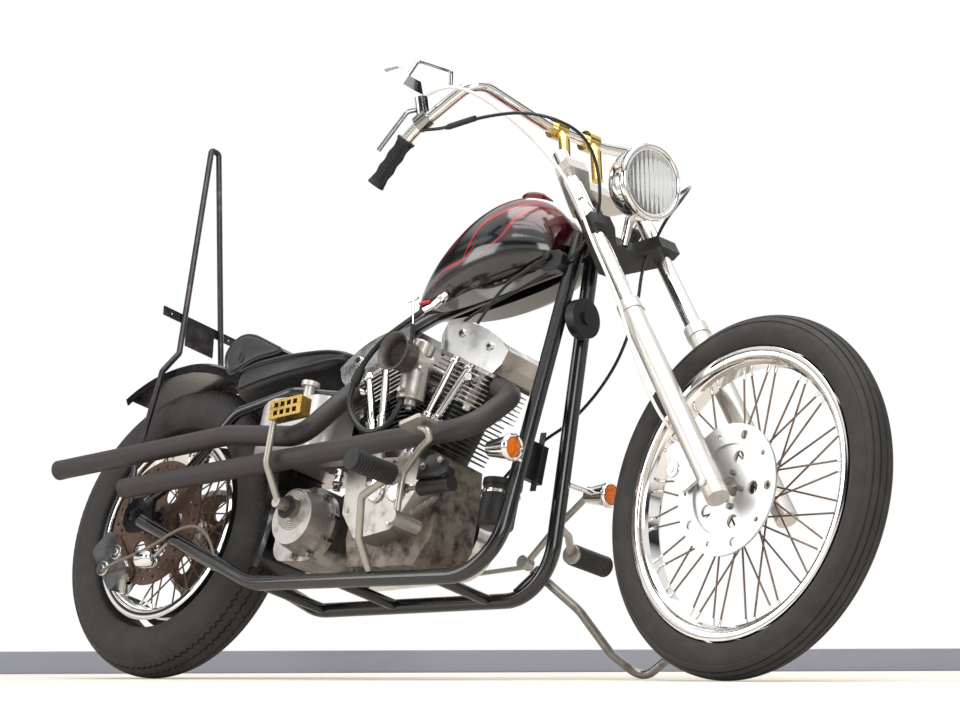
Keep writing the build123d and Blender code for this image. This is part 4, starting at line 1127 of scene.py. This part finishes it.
@dataclass
class Saddle:
    """The seat and its raised bolster, in creased leather with piped edges.

    Columns of stations: x, lowest z, highest z, half width.
    """

    stations: tuple[tuple[float, float, float, float], ...] = (
        (198, 618, 664, 96),
        (214, 606, 690, 106),
        (260, 612, 704, 110),
        (310, 624, 708, 111),
        (360, 638, 714, 106),
        (415, 654, 720, 92),
        (455, 678, 724, 72),
        (478, 694, 720, 52),
        (484, 700, 714, 40),
    )
    bolster: tuple[Pair, ...] = (
        (176, 664), (240, 702), (326, 709), (334, 718), (300, 731), (258, 749), (222, 762), (190, 764), (166, 755),
        (148, 736), (140, 716), (150, 688),
    )
    bolster_half: float = 106.0
    around: int = 24

    def seat_ring(self, station: tuple[float, float, float, float]) -> list[Point]:
        """One rounded section across the seat."""
        x, low, high, half = station
        ring = []
        for k in range(self.around):
            angle = -math.pi + math.tau * k / self.around
            c, s = math.cos(angle), math.sin(angle)
            across = half * math.copysign(abs(c) ** 0.45, c)
            lift = math.copysign(abs(s) ** 0.6, s)
            middle = (low + high) / 2
            crown = 5.0 * (1 - (across / half) ** 2) if s > 0 else 0.0
            ring.append((x, across, middle + (high - low) / 2 * lift + crown))
        return ring

    def seat(self) -> None:
        """Makes the main cushion with its welt."""
        piece = lofted("seat_cushion", [self.seat_ring(station) for station in self.stations])
        apply_modifier(piece, "SUBSURF", levels=2, render_levels=2)
        smooth(piece, 60)
        hand_over(piece, COWHIDE, Body.CHASSIS, replaces=("seat",))
        for name, drop in (("seat_welt_low", 0.30), ("seat_welt_high", 0.78)):
            path = []
            for side in (-1, 1):
                stations = self.stations[1:-1] if side < 0 else tuple(reversed(self.stations[1:-1]))
                for x, low, high, half in stations:
                    path.append((x, side * (half + 0.5), low + (high - low) * drop))
            welt = pipe(name, path, 3.2, closed=False)
            hand_over(welt, COWHIDE, Body.CHASSIS)

    def bolster_ring(self, y: float, scale: float) -> list[Point]:
        """The bolster's side outline at one station across the machine."""
        count = len(self.bolster)
        cx = sum(p[0] for p in self.bolster) / count
        cz = sum(p[1] for p in self.bolster) / count
        ring = []
        for x, z in self.bolster:
            ring.append((cx + (x - cx) * scale, y, cz + (z - cz) * scale))
        return ring

    def pad(self) -> None:
        """Makes the raised bolster with piping on both ends."""
        half = self.bolster_half
        stations = [(-half, 0.8), (-half + 4, 0.93), (-half + 16, 1.0), (-50, 1.0), (0, 1.01), (50, 1.0)]
        stations += [(half - 16, 1.0), (half - 4, 0.93), (half, 0.8)]
        piece = lofted("bolster", [self.bolster_ring(y, scale) for y, scale in stations])
        apply_modifier(piece, "SUBSURF", levels=2, render_levels=2)
        smooth(piece, 60)
        hand_over(piece, COWHIDE, Body.CHASSIS)
        for side in (-1, 1):
            ring = self.bolster_ring(side * (half - 7), 0.985)
            welt = pipe(f"bolster_piping_{SIDE_NAMES[side]}", ring, 2.8, closed=True)
            hand_over(welt, COWHIDE, Body.CHASSIS)
            stitch = [(196, 706), (206, 722), (216, 706), (206, 690)]
            diamond = pipe(
                f"bolster_stitch_{SIDE_NAMES[side]}",
                [(x, side * (half + 0.5), z) for x, z in stitch], 1.1, closed=True,
            )
            hand_over(diamond, COWHIDE, Body.CHASSIS)

    def build(self) -> None:
        """Makes the whole saddle."""
        self.seat()
        self.pad()


@dataclass
class TankTrim:
    """Flame licks, fuel tap with its hose and filter, and coil around the tank.

    Each lick is a list of x and z on the tank's side with its half width.
    """

    licks: tuple[tuple[tuple[float, float, float], ...], ...] = (
        ((1000, 1000, 6), (955, 975, 7), (905, 952, 6), (880, 915, 4), (872, 880, 2.5), (850, 858, 0.6)),
        ((935, 1004, 6), (880, 985, 7), (838, 950, 5), (826, 915, 3.5), (795, 890, 2.2), (752, 884, 0.6)),
        ((872, 992, 4), (820, 965, 4), (780, 925, 3), (752, 885, 2), (722, 858, 0.6)),
        ((900, 905, 0.6), (880, 872, 3), (838, 860, 4), (790, 856, 3), (762, 838, 2), (742, 815, 0.6)),
        ((1008, 985, 5), (985, 955, 5), (968, 915, 3.5), (940, 888, 2), (905, 868, 0.6)),
    )
    beside: float = 190.0

    def lick(self, name: str, points: Sequence[tuple[float, float, float]], side: int, tank: bpy.types.Object):
        """Lays one tapered lick on the tank's side.

        Args:
            name: the piece's name.
            points: x, z and half width along the lick.
            side: -1 for the right of the machine, 1 for the left.
            tank: the tank's skin, upright and in millimetres.

        Returns:
            The lick, in millimetres on the upright machine.
        """
        line = pipe("line", [(x, side * self.beside, z) for x, z, _ in points], 0.0)
        path = [v.co.copy() for v in line.data.vertices]
        bpy.data.objects.remove(line)
        widths = [p[2] for p in points]
        bpy.ops.object.select_all(action="DESELECT")
        bpy.ops.mesh.primitive_grid_add(x_subdivisions=3, y_subdivisions=len(path) - 1, size=1.0)
        piece = named(name)
        columns = 4
        for index, vertex in enumerate(piece.data.vertices):
            row, column = divmod(index, columns)
            at = path[row]
            share = row / (len(path) - 1) * (len(widths) - 1)
            low = min(int(share), len(widths) - 2)
            width = widths[low] + (widths[low + 1] - widths[low]) * (share - low)
            before, after = path[max(row - 1, 0)], path[min(row + 1, len(path) - 1)]
            run = (after - before).normalized()
            across = Vector((-run.z, 0, run.x))
            vertex.co = at + across * width * (2 * column / (columns - 1) - 1)
        wrap = {
            "target": tank,
            "wrap_method": "PROJECT",
            "use_project_x": False,
            "use_project_y": True,
            "use_negative_direction": True,
            "use_positive_direction": True,
            "offset": 0.4,
        }
        apply_modifier(piece, "SHRINKWRAP", **wrap)
        missed = [abs(vertex.co.y) > self.beside - 40 for vertex in piece.data.vertices]
        select_only(piece)
        bpy.ops.object.mode_set(mode="EDIT")
        bpy.ops.mesh.select_all(action="DESELECT")
        bpy.ops.object.mode_set(mode="OBJECT")
        for vertex, out in zip(piece.data.vertices, missed):
            vertex.select = out
        bpy.ops.object.mode_set(mode="EDIT")
        bpy.ops.mesh.select_mode(type="VERT")
        bpy.ops.mesh.delete(type="VERT")
        bpy.ops.object.mode_set(mode="OBJECT")
        smooth(piece, 60)
        return piece

    def flames(self, tank: bpy.types.Object) -> None:
        """Lays the licks on both sides."""
        upright = copy_of(tank, PARKED.inverted())
        upright.parent = None
        upright.matrix_world = Matrix.Identity(4)
        for side in (-1, 1):
            made = [self.lick("lick", points, side, upright) for points in self.licks]
            piece = joined(f"flames_{SIDE_NAMES[side]}", made)
            hand_over(piece, FLAME_LACQUER, Body.CHASSIS)
        bpy.data.objects.remove(upright)

    def tap(self) -> None:
        """Makes the fuel tap, its lever, the hose to the carburettor and the filter in it."""
        body = [
            rod("body", (790, -68, 818), (768, -86, 782), 8.5, 20, 1.0),
            rod("nut", (782, -75, 804), (778, -78, 797), 12.0, 6, 1.0),
            rod("outlet", (770, -84, 786), (752, -98, 768), 6.0, 16, 0.8),
        ]
        hand_over(joined("fuel_tap", body), CHROME, Body.CHASSIS)
        lever = rod("fuel_tap_lever", (764, -92, 792), (744, -102, 784), 3.6, 12, 1.0)
        hand_over(lever, RED_LEVER, Body.CHASSIS)
        route = [
            (754, -97, 770), (728, -118, 735), (694, -138, 694), (664, -148, 645), (647, -150, 600), (642, -150, 556),
            (662, -146, 514), (706, -142, 484), (752, -136, 492), (772, -130, 524), (776, -124, 560),
        ]
        hand_over(pipe("fuel_hose", route, 6.0), BLACK_SHEATH, Body.CHASSIS)
        filter_parts = [
            rod("can", (657, -148, 626), (648, -149, 596), 10.5, 24, 1.5),
            rod("ring", (659, -148, 632), (657, -148, 626), 8.5, 24, 0.8),
            rod("ring", (648, -149, 596), (647, -149, 590), 8.5, 24, 0.8),
        ]
        hand_over(joined("fuel_filter", filter_parts), NITRILE, Body.CHASSIS)

    def coil(self) -> None:
        """Makes the ignition coil beside the neck, with its lead."""
        outline = [(-24, -20), (18, -20), (26, -8), (26, 14), (12, 24), (-18, 24), (-26, 12), (-26, -8)]
        place = Matrix.Translation((1072, -40, 862)) @ Matrix.Rotation(math.radians(90), 4, "X")
        case = slab("case", outline, place, 26, 2.5)
        boss = rod("boss", (1060, -66, 872), (1060, -74, 872), 9.0, 20, 1.5)
        hand_over(joined("ignition_coil", [case, boss]), HEAT_BLACK, Body.CHASSIS)
        lead = [(1058, -72, 866), (1030, -80, 846), (990, -72, 836), (940, -70, 806), (892, -66, 740)]
        hand_over(pipe("coil_lead", lead, 3.5), BLACK_SHEATH, Body.CHASSIS)

    def build(self, tank: bpy.types.Object) -> None:
        """Makes all the trim."""
        self.flames(tank)
        self.tap()
        self.coil()


@dataclass
class EngineTrim:
    """Bolts, covers and small parts of the engine and gearbox."""

    kick: Pair = (518.0, 312.0)

    def rocker_bolts(self) -> None:
        """Sets two domed socket bolts in each side of both rocker boxes."""
        made, sockets = [], []
        for tilt in (V_HALF, -V_HALF):
            place = cylinder_place(tilt, HEAD_TOP)
            for across in (-48, 48):
                for side in (-1, 1):
                    spot = place @ Vector((across, side * 66, 48))
                    out = Vector((0, side, 0))
                    made.append(rod("bolt", tuple(spot), tuple(spot + out * 5), 9.5, 28, 2.0))
                    # The socket is a thin near-black disc on the bolt's face: painted shade for its recess
                    sockets.append(rod("socket", tuple(spot + out * 4.6), tuple(spot + out * 5.4), 4.2, 6))
        hand_over(joined("rocker_box_bolts", made), CHROME, Body.CHASSIS)
        hand_over(joined("rocker_box_sockets", sockets), SOOT_AND_SHADE_BLACK, Body.CHASSIS)

    def gearbox_trim(self) -> None:
        """Sets the bolts and ribs of the kick cover, and its breather."""
        bolts, ribs = [], []
        for k in range(9):
            angle = math.tau * k / 9 + 0.2
            x, z = self.kick[0] + 74 * math.cos(angle), self.kick[1] + 74 * math.sin(angle)
            bolts.append(rod("boss", (x, -66, z), (x, -84, z), 8.0, 20, 1.2))
            bolts.append(rod("bolt", (x, -84, z), (x, -91, z), 5.5, 6, 0.6))
        for k in range(5):
            radius = 26 + 4.5 * k
            profile = [(radius, 0), (radius + 1.2, 2.2), (radius + 2.4, 0)]
            ribs.append(turned("rib", profile, along((self.kick[0], -130, 330), (self.kick[0], -140, 330)), 40))
        hand_over(joined("kick_cover_bolts", bolts), DRAWN_STEEL, Body.CHASSIS)
        hand_over(joined("kick_cover_ribs", ribs), CAST_ALUMINIUM, Body.CHASSIS)
        breather = [
            rod("stem", (560, -60, 392), (560, -60, 424), 8.0, 20, 1.0),
            rod("nut", (560, -60, 404), (560, -60, 412), 12.0, 6, 1.0),
            rod("cap", (560, -60, 424), (560, -60, 438), 11.0, 20, 2.5),
        ]
        hand_over(joined("gearbox_breather", breather), CHROME, Body.CHASSIS)

    def kick_spring(self) -> None:
        """Winds the flat return spring around the kick shaft."""
        coil = []
        for k in range(8 * 4 + 1):
            radius, angle = 12 + 0.5 * k, math.tau * k / 8
            coil.append((518 + radius * math.cos(angle), -150, 330 + radius * math.sin(angle)))
        hand_over(pipe("kick_spring", coil, 1.7, sides=2), HEAT_BLACK, Body.CHASSIS)
        shaft = [
            rod("shaft", (518, -140, 330), (518, -172, 330), 9.0, 24, 1.0),
            rod("nut", (518, -158, 330), (518, -164, 330), 13.0, 6, 1.2),
        ]
        hand_over(joined("kick_shaft", shaft), DRAWN_STEEL, Body.CHASSIS)

    def brake_fittings(self) -> None:
        """Makes the chrome fluid can by the rear wheel and the bosses of both calipers."""
        profile = [(0.1, 0), (12, 0.5), (18, 4), (21, 10), (21.5, 46), (19, 53), (12, 57), (0.1, 58)]
        can = turned("fluid_can", profile, along((30, -122, 234), (90, -126, 238)), 40)
        smooth(can, 50)
        hand_over(can, CHROME, Body.CHASSIS)
        arm = rod("can_bracket", (88, -126, 238), (128, -118, 288), 5.0, 16, 0.8)
        hand_over(arm, DRAWN_STEEL, Body.CHASSIS)
        for name, centre, level, turn, body, place in (
            ("rear_caliper_bosses", (-100, 244), -102, 46, Body.CHASSIS, PARKED),
            ("front_caliper_bosses", (1530, 404), -70, 20, Body.STEERING, STEERED),
        ):
            made = []
            run = (math.cos(math.radians(turn)), math.sin(math.radians(turn)))
            for step in (-26, 26):
                x, z = centre[0] + run[0] * step, centre[1] + run[1] * step
                made.append(rod("boss", (x, level + 1, z), (x, level - 3, z), 17.0, 32, 1.5))
                made.append(rod("cap", (x, level - 2, z), (x, level - 5, z), 8.0, 6, 0.8))
            hand_over(joined(name, made), POLISHED_ALUMINIUM, body, place)

    def timing_trim(self) -> None:
        """Makes the round inspection cover and the bolts of the timing case."""
        profile = [(0.1, 12), (20, 12), (27, 9), (31, 4), (34, 2), (34, 0)]
        cover = turned("round_cover", profile, along((742, -115, 392), (742, -130, 392)), 56)
        smooth(cover, 40)
        hand_over(cover, CHROME, Body.CHASSIS)
        made = []
        for x, z in ((-92, 84), (-40, 84), (40, 84), (92, 84), (104, 28), (56, -46), (-30, -62), (-78, -14)):
            x, z = CRANK.x + x, CRANK.z + z
            made.append(rod("bolt", (x, -115, z), (x, -121, z), 6.0, 6, 0.7))
        for x, z in ((0, 20), (60, 18)):
            x, z = CRANK.x + x, CRANK.z + z
            made.append(rod("boss", (x, -114, z), (x, -124, z), 22.0, 32, 4.0))
        hand_over(joined("timing_case_bolts", made), POLISHED_ALUMINIUM, Body.CHASSIS)

    def tappets(self) -> None:
        """Makes the tappet blocks, the tube collars and their clips."""
        blocks, collars = [], []
        feet = ((38, -30, V_HALF), (56, 24, V_HALF), (-38, 30, -V_HALF), (-56, -24, -V_HALF))
        for foot_x, top_u, tilt in feet:
            foot = Vector((CRANK.x + foot_x, -92, 437))
            top = cylinder_place(tilt, HEAD_TOP - 1) @ Vector((top_u, -66, 0))
            run = (top - foot).normalized()
            blocks.append(rod("block", tuple(foot - run * 2), tuple(foot + run * 16), 14.5, 24, 2.0))
            for share in (0.42, 0.93):
                at = foot + (top - foot) * share
                collars.append(rod("collar", tuple(at), tuple(at + run * 9), 12.6, 28, 1.5))
        hand_over(joined("tappet_blocks", blocks), CAST_ALUMINIUM, Body.CHASSIS)
        hand_over(joined("pushrod_collars", collars), CHROME, Body.CHASSIS)

    def carburettor_trim(self) -> None:
        """Makes the choke rod, the top, the drain screw and the gauze of the intake."""
        choke = [
            rod("sleeve", (766, -120, 668), (757, -120, 730), 4.6, 16, 0.8),
            rod("rod", (757, -120, 730), (742, -120, 786), 2.2, 12),
            rod("tee", (728, -120, 784), (756, -120, 790), 3.0, 12, 0.8),
        ]
        choke[0].data.materials.append(BLACK_SHEATH.material())
        choke[1].data.materials.append(CHROME.material())
        choke[2].data.materials.append(CHROME.material())
        hand_over(joined("choke_rod", choke), CHROME, Body.CHASSIS)
        body = [
            rod("top", (792, -112, 660), (800, -112, 690), 24.0, 32, 3.0),
            rod("drain", (785, -110, 549), (785, -110, 541), 7.0, 6, 0.8),
            rod("union", (785, -110, 575), (785, -148, 575), 6.0, 16, 0.8),
            rod("screw", (806, -124, 628), (818, -132, 626), 4.0, 12, 0.6),
            rod("flange", (760, -80, 648), (760, -86, 648), 34.0, 32, 1.5),
        ]
        hand_over(joined("carburettor_trim", body), CAST_ALUMINIUM, Body.CHASSIS)
        wires = []
        for k in range(-5, 6):
            reach = math.sqrt(max(29.0**2 - (k * 5.0) ** 2, 1.0))
            wires.append(rod("wire", (785 + k * 5, -162, 645 - reach), (785 + k * 5, -162, 645 + reach), 0.6, 5))
            wires.append(rod("wire", (785 - reach, -163, 645 + k * 5), (785 + reach, -163, 645 + k * 5), 0.6, 5))
        hand_over(joined("intake_gauze", wires), BELL_GREY, Body.CHASSIS)

    def brake_linkage(self) -> None:
        """Makes the master cylinder's plate, bolts, push rod and the return spring."""
        outline = [(-36, -12), (20, -16), (42, -8), (40, 16), (10, 34), (-18, 30), (-36, 8)]
        place = Matrix.Translation((975, -184, 376)) @ Matrix.Rotation(math.radians(90), 4, "X")
        plate = slab("plate", outline, place, 4, 1.0)
        hand_over(plate, HEAT_BLACK, Body.CHASSIS)
        bolts = [
            rod("bolt", (955, -188, 380), (955, -197, 380), 8.0, 6, 1.0),
            rod("bolt", (1000, -188, 392), (1000, -197, 392), 8.0, 6, 1.0),
            rod("rod", (932, -168, 345), (904, -180, 342), 5.0, 16, 0.6),
            rod("eye", (902, -174, 342), (902, -186, 342), 9.0, 20, 1.0),
        ]
        hand_over(joined("master_cylinder_bolts", bolts), DRAWN_STEEL, Body.CHASSIS)
        turns, coil = 16, []
        start, end = Vector((920, -170, 292)), Vector((985, -170, 322))
        run = (end - start) / (turns * 8)
        left = Vector((0, 1, 0))
        side = run.cross(left).normalized()
        for k in range(turns * 8 + 1):
            angle = math.tau * k / 8
            coil.append(tuple(start + run * k + side * 6 * math.cos(angle) + left * 6 * math.sin(angle)))
        hand_over(pipe("return_spring", coil, 1.1, sides=1), DRAWN_STEEL, Body.CHASSIS)

    def filter_band(self) -> None:
        """Makes the bright band of the oil filter."""
        profile = [(38.5, -4), (40.5, -3), (40.5, 3), (38.5, 4)]
        band = turned("oil_filter_band", profile, along((1000, -10, 378), (1000, -10, 400)), 48)
        hand_over(band, CHROME, Body.CHASSIS)

    def plugs(self) -> None:
        """Makes the spark plugs and the head bolts between the fins."""
        made = []
        for tilt in (V_HALF, -V_HALF):
            place = cylinder_place(tilt, HEAD_TOP - 40)
            outward = 1 if tilt > 0 else -1
            a, b = place @ Vector((outward * 40, -62, 0)), place @ Vector((outward * 58, -92, 12))
            made.append(rod("plug", tuple(a), tuple(b), 8.0, 18, 1.0))
            for across in (-58, 58):
                low = place @ Vector((across, -58, -52))
                high = place @ Vector((across, -58, -34))
                made.append(rod("head_bolt", tuple(low), tuple(high), 8.5, 6, 0.8))
        hand_over(joined("plugs_and_head_bolts", made), POLISHED_ALUMINIUM, Body.CHASSIS)

    def build(self) -> None:
        """Makes all of the engine's trim."""
        for make in (
            self.rocker_bolts, self.gearbox_trim, self.kick_spring, self.timing_trim, self.tappets,
            self.carburettor_trim, self.brake_linkage, self.brake_fittings, self.filter_band, self.plugs,
        ):
            make()


@dataclass
class Controls:
    """Grips, cables, hoses, pegs, lamps and mirror glass."""

    cable_radius: float = 3.4
    peg_ribs: int = 12

    def grips(self) -> None:
        """Makes the ribbed grips with their flanges."""
        for side in (-1, 1):
            turn, tip = Vector((877, side * 325, 1104)), Vector((803, side * 343, 998))
            run = (tip - turn).normalized()
            start = turn + (tip - turn) * 0.15
            length = (tip - start).length + 4
            lobes, rings = 18, 26
            shape = []
            for k in range(rings + 1):
                share = k / rings
                flange = 5.0 if share < 0.05 else (3.0 if share > 0.95 else 0.0)
                swell = 1.1 * math.sin(share * math.pi * 7)
                ring = []
                for j in range(lobes * 4):
                    angle = -math.pi + math.tau * j / (lobes * 4)
                    rib = 0.9 * math.cos(lobes * angle) if not flange else 0.0
                    radius = 15.6 + flange + (swell if not flange else 0) + rib
                    ring.append((radius * math.cos(angle), radius * math.sin(angle), share * length))
                shape.append(ring)
            piece = lofted(f"grip_{SIDE_NAMES[side]}", shape)
            smooth(piece, 50)
            piece.data.transform(along(tuple(start), tuple(start + run)))
            replaced = ("grips",) if side < 0 else ()
            hand_over(piece, NITRILE, Body.STEERING, STEERED, replaced)

    def cable(self, name: str, route: Sequence[Point]) -> None:
        """Makes one cable that runs from the steering to the frame, laid where the steered fork puts it and carried
        by neither body.

        Args:
            name: the cable's name.
            route: its control points on the upright machine.
        """
        piece = pipe(name, route, self.cable_radius)
        piece.data.transform(STEERED)
        piece.data.materials.append(BLACK_SHEATH.material())
        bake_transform(piece)
        LOG.info("%s bends between steering and chassis", name)

    def cables(self) -> None:
        """Makes the throttle and clutch cables, which run from the steering to the frame."""
        throttle = [
            (908, -318, 1106), (952, -316, 1100), (986, -312, 1102), (1030, -305, 1106), (1080, -290, 1114),
            (1140, -252, 1124), (1180, -196, 1120), (1198, -140, 1104), (1202, -100, 1066), (1204, -78, 1008),
            (1196, -66, 950), (1160, -60, 902), (1104, -58, 868), (1030, -62, 842), (950, -66, 818), (880, -70, 800),
            (824, -84, 770), (800, -100, 724), (798, -108, 690),
        ]
        self.cable("throttle_cable", throttle)
        adjuster = [
            rod("sleeve", (980, -312, 1101), (1052, -300, 1111), 6.2, 20, 1.5),
            rod("nut", (974, -313, 1100), (980, -312, 1101), 5.0, 6, 0.6),
        ]
        hand_over(joined("cable_adjuster", adjuster), NITRILE, Body.STEERING, STEERED)
        clutch = [
            (905, 320, 1120), (980, 310, 1130), (1080, 270, 1128), (1170, 200, 1100), (1222, 130, 1040), (1236, 80, 980),
            (1230, 60, 920), (1214, 50, 870), (1204, 60, 790), (1156, 78, 716), (1112, 92, 672), (1040, 110, 624),
            (960, 120, 580), (892, 122, 556), (820, 120, 520), (760, 120, 470),
        ]
        self.cable("clutch_cable", clutch)

    def hoses(self) -> None:
        """Makes the front brake hose over its solid, and the rear one."""
        front = [
            (918, -330, 1176), (968, -330, 1190), (1020, -290, 1178), (1062, -232, 1140), (1108, -176, 1086),
            (1160, -138, 1020), (1206, -126, 948), (1252, -126, 876), (1300, -122, 806), (1350, -125, 740),
            (1392, -126, 668), (1432, -124, 594), (1468, -113, 528), (1500, -95, 476), (1516, -86, 461),
        ]
        hand_over(pipe("front_brake_hose", front, 3.5), MILKY_SLEEVE, Body.STEERING, STEERED, ("brake_hose",))
        rear = [
            (-108, -110, 216), (-60, -128, 226), (20, -136, 240), (90, -138, 262), (150, -138, 292), (205, -136, 306),
            (246, -130, 292), (268, -118, 258), (284, -112, 222),
        ]
        hand_over(pipe("rear_brake_hose", rear, 3.6), BROWN_SLEEVE, Body.CHASSIS)

    def pegs(self) -> None:
        """Makes the ribbed rubbers of the footpegs and their end caps."""
        caps = []
        for name, inner, outer in (
            ("peg_rubber_right", (911, -236, 352), (909, -342, 348)),
            ("peg_rubber_left", (1021, 208, 319), (1016, 310, 326)),
        ):
            length = (Vector(outer) - Vector(inner)).length
            profile = [(20.2, 0)]
            for k in range(self.peg_ribs):
                at, next_at = length * k / self.peg_ribs, length * k / self.peg_ribs + length / self.peg_ribs
                profile += [(22.4, at + 1), (22.4, next_at - 2.4), (20.6, next_at - 1.6), (20.6, next_at - 0.4)]
            profile += [(22.0, length), (20.2, length)]
            piece = turned(name, profile, along(inner, outer), 40)
            smooth(piece, 30)
            hand_over(piece, NITRILE, Body.CHASSIS)
            run = (Vector(outer) - Vector(inner)).normalized()
            caps.append(rod("cap", outer, tuple(Vector(outer) + run * 5), 22.6, 40, 2.2))
        hand_over(joined("peg_caps", caps), NITRILE, Body.CHASSIS)

    def lamp(self) -> None:
        """Makes the headlamp's glass and its rim."""
        place = along((1266, 0, 1030), (1270, 0, 1030))
        dome = [(0.1, 13), (24, 12), (48, 9), (64, 5), (71, 1.0), (71, -1.5)]
        ring = [(70, 5), (72, 8), (76, 8.5), (79.5, 5), (80, 0), (79, -8), (76.2, -10)]
        for name, profile, finish in (("headlamp_glass", dome, LAMP_GLASS), ("headlamp_rim", ring, CHROME)):
            piece = turned(name, profile, place, 72)
            smooth(piece, 60)
            hand_over(piece, finish, Body.STEERING, STEERED)

    def signals(self) -> None:
        """Makes the amber lenses and bright rims of the front signals."""
        for name, profile, finish in (
            ("signal_lenses", [(0.1, 7), (12, 6), (19, 3), (22, 0)], AMBER_LENS),
            ("signal_rims", [(21, 3), (24, 5), (27.5, 2), (27, -6)], CHROME),
        ):
            made = [turned("turn", profile, along((1149, y, 425), (1152, y, 425)), 36) for y in (-150, 150)]
            piece = joined(name, made)
            smooth(piece, 60)
            hand_over(piece, finish, Body.CHASSIS)

    def mirror_glass(self) -> None:
        """Lays the glass on the mirror's face."""
        at = Vector((878, -362, 1202))
        out = Vector((-0.55, -0.1, -0.83)).normalized()
        glass = turned("mirror_glass", [(0.1, 0.5), (40, 0.5), (46, 0.3)], along(tuple(at), tuple(at + out)), 60)
        smooth(glass, 60)
        hand_over(glass, MIRROR_GLASS, Body.STEERING, STEERED)

    def build(self) -> None:
        """Makes all of the controls' detail."""
        for make in (self.grips, self.cables, self.hoses, self.pegs, self.lamp, self.signals, self.mirror_glass):
            make()


@dataclass
class Chain:
    """The drive chain's links along the loop around both sprockets."""

    pitch: float = 15.875
    rear_teeth: int = 48
    front_teeth: int = 24
    front: Pair = (470.0, 345.0)
    line: float = 84.0

    def loop(self) -> list[Pair]:
        """Points of the pitch line, one for each pin.

        Returns:
            x and z of the pins, in order.
        """
        big = self.pitch / (2 * math.sin(math.pi / self.rear_teeth))
        small = self.pitch / (2 * math.sin(math.pi / self.front_teeth))
        rise = self.front[1] - STANCE.rear_radius
        reach = math.hypot(self.front[0], rise)
        lift = math.asin(rise / reach)
        close = math.asin((big - small) / reach)
        run = math.sqrt(reach**2 - (big - small) ** 2)
        parts = (run, small * (math.pi - 2 * close), run, big * (math.pi + 2 * close))
        total = sum(parts)
        count = 2 * round(total / self.pitch / 2)
        up, down = math.pi / 2 - close + lift, -math.pi / 2 + close + lift
        points = []
        for k in range(count):
            at = total * k / count
            if at < parts[0]:
                share = at / parts[0]
                a = (big * math.cos(up), STANCE.rear_radius + big * math.sin(up))
                b = (self.front[0] + small * math.cos(up), self.front[1] + small * math.sin(up))
                points.append((a[0] + (b[0] - a[0]) * share, a[1] + (b[1] - a[1]) * share))
            elif at < parts[0] + parts[1]:
                angle = up - (at - parts[0]) / small
                points.append((self.front[0] + small * math.cos(angle), self.front[1] + small * math.sin(angle)))
            elif at < parts[0] + parts[1] + parts[2]:
                share = (at - parts[0] - parts[1]) / parts[2]
                a = (self.front[0] + small * math.cos(down), self.front[1] + small * math.sin(down))
                b = (big * math.cos(down), STANCE.rear_radius + big * math.sin(down))
                points.append((a[0] + (b[0] - a[0]) * share, a[1] + (b[1] - a[1]) * share))
            else:
                angle = down - (at - parts[0] - parts[1] - parts[2]) / big
                points.append((big * math.cos(angle), STANCE.rear_radius + big * math.sin(angle)))
        return points

    def build(self) -> None:
        """Makes plates and rollers for every link."""
        points = self.loop()
        made = []
        for k, (x, z) in enumerate(points):
            nx, nz = points[(k + 1) % len(points)]
            middle, length = Vector(((x + nx) / 2, 0, (z + nz) / 2)), math.hypot(nx - x, nz - z)
            angle = math.atan2(nz - z, nx - x)
            offset, thick = (7.6, 1.6) if k % 2 else (5.6, 1.6)
            outline = []
            for side in (1, -1):
                for j in range(5):
                    turn = math.radians(-70 + 35 * j) if side > 0 else math.radians(110 + 35 * j)
                    outline.append((side * length / 2 + 6.6 * math.cos(turn), 6.6 * math.sin(turn)))
            for side in (-1, 1):
                level = self.line + side * offset - thick / 2
                place = Matrix.Translation((middle.x, level, middle.z)) @ Matrix.Rotation(-angle, 4, "Y")
                place = place @ Matrix.Rotation(math.radians(90), 4, "X") @ Matrix.Scale(-1, 4, (0, 0, 1))
                made.append(slab("plate", outline, place, thick))
            made.append(rod("roller", (x, self.line - 9, z), (x, self.line + 9, z), 4.2, 8))
        piece = joined("chain_links", made)
        face_out(piece)
        hand_over(piece, WORN_STEEL, Body.CHASSIS, replaces=("drive_chain",))


@dataclass
class Pipes:
    """Open ends of the exhaust pipes."""

    ends: tuple[tuple[Point, Point], ...] = (
        ((-234.0, -190.0, 437.1), (-246.0, -190.0, 436.1)),
        ((20.0, -190.0, 381.2), (8.0, -190.0, 380.2)),
    )

    def build(self) -> None:
        """Makes a short open sleeve with a dark throat at each end: a near-black disc a little way in, painted shade
        for the hollow pipe along with its real soot.
        """
        sleeves, throats = [], []
        for start, end in self.ends:
            profile = [(22.3, 0), (22.6, 1), (22.6, 13), (21.4, 14), (20.4, 13), (20.4, 1)]
            sleeves.append(turned("sleeve", profile, along(start, end), 40))
            throats.append(turned("throat", [(0.1, 3.2), (20.4, 3.2)], along(start, end), 40))
        piece = joined("pipe_ends", sleeves)
        smooth(piece, 40)
        hand_over(piece, PIPE_PAINT, Body.CHASSIS)
        hand_over(joined("pipe_throats", throats), SOOT_AND_SHADE_BLACK, Body.CHASSIS)


def main() -> None:
    """Builds the studio and dresses the machine."""
    logging.basicConfig(level=logging.INFO, format="%(name)s %(message)s")
    Studio().build()
    remade = {"front_tyre", "rear_tyre", "seat", "grips", "brake_hose", "drive_chain"}
    remade |= {"front_rim", "rear_rim", "front_hub", "rear_hub", "front_spokes", "rear_spokes"}
    skins = SolidDress().build(remade)
    wheels = Wheels()
    wheels.tyres()
    wheels.rims()
    wheels.spokes()
    wheels.disc_bolts()
    Saddle().build()
    TankTrim().build(skins["fuel_tank"])
    EngineTrim().build()
    Controls().build()
    Chain().build()
    Pipes().build()


if __name__ == "__main__":
    main()
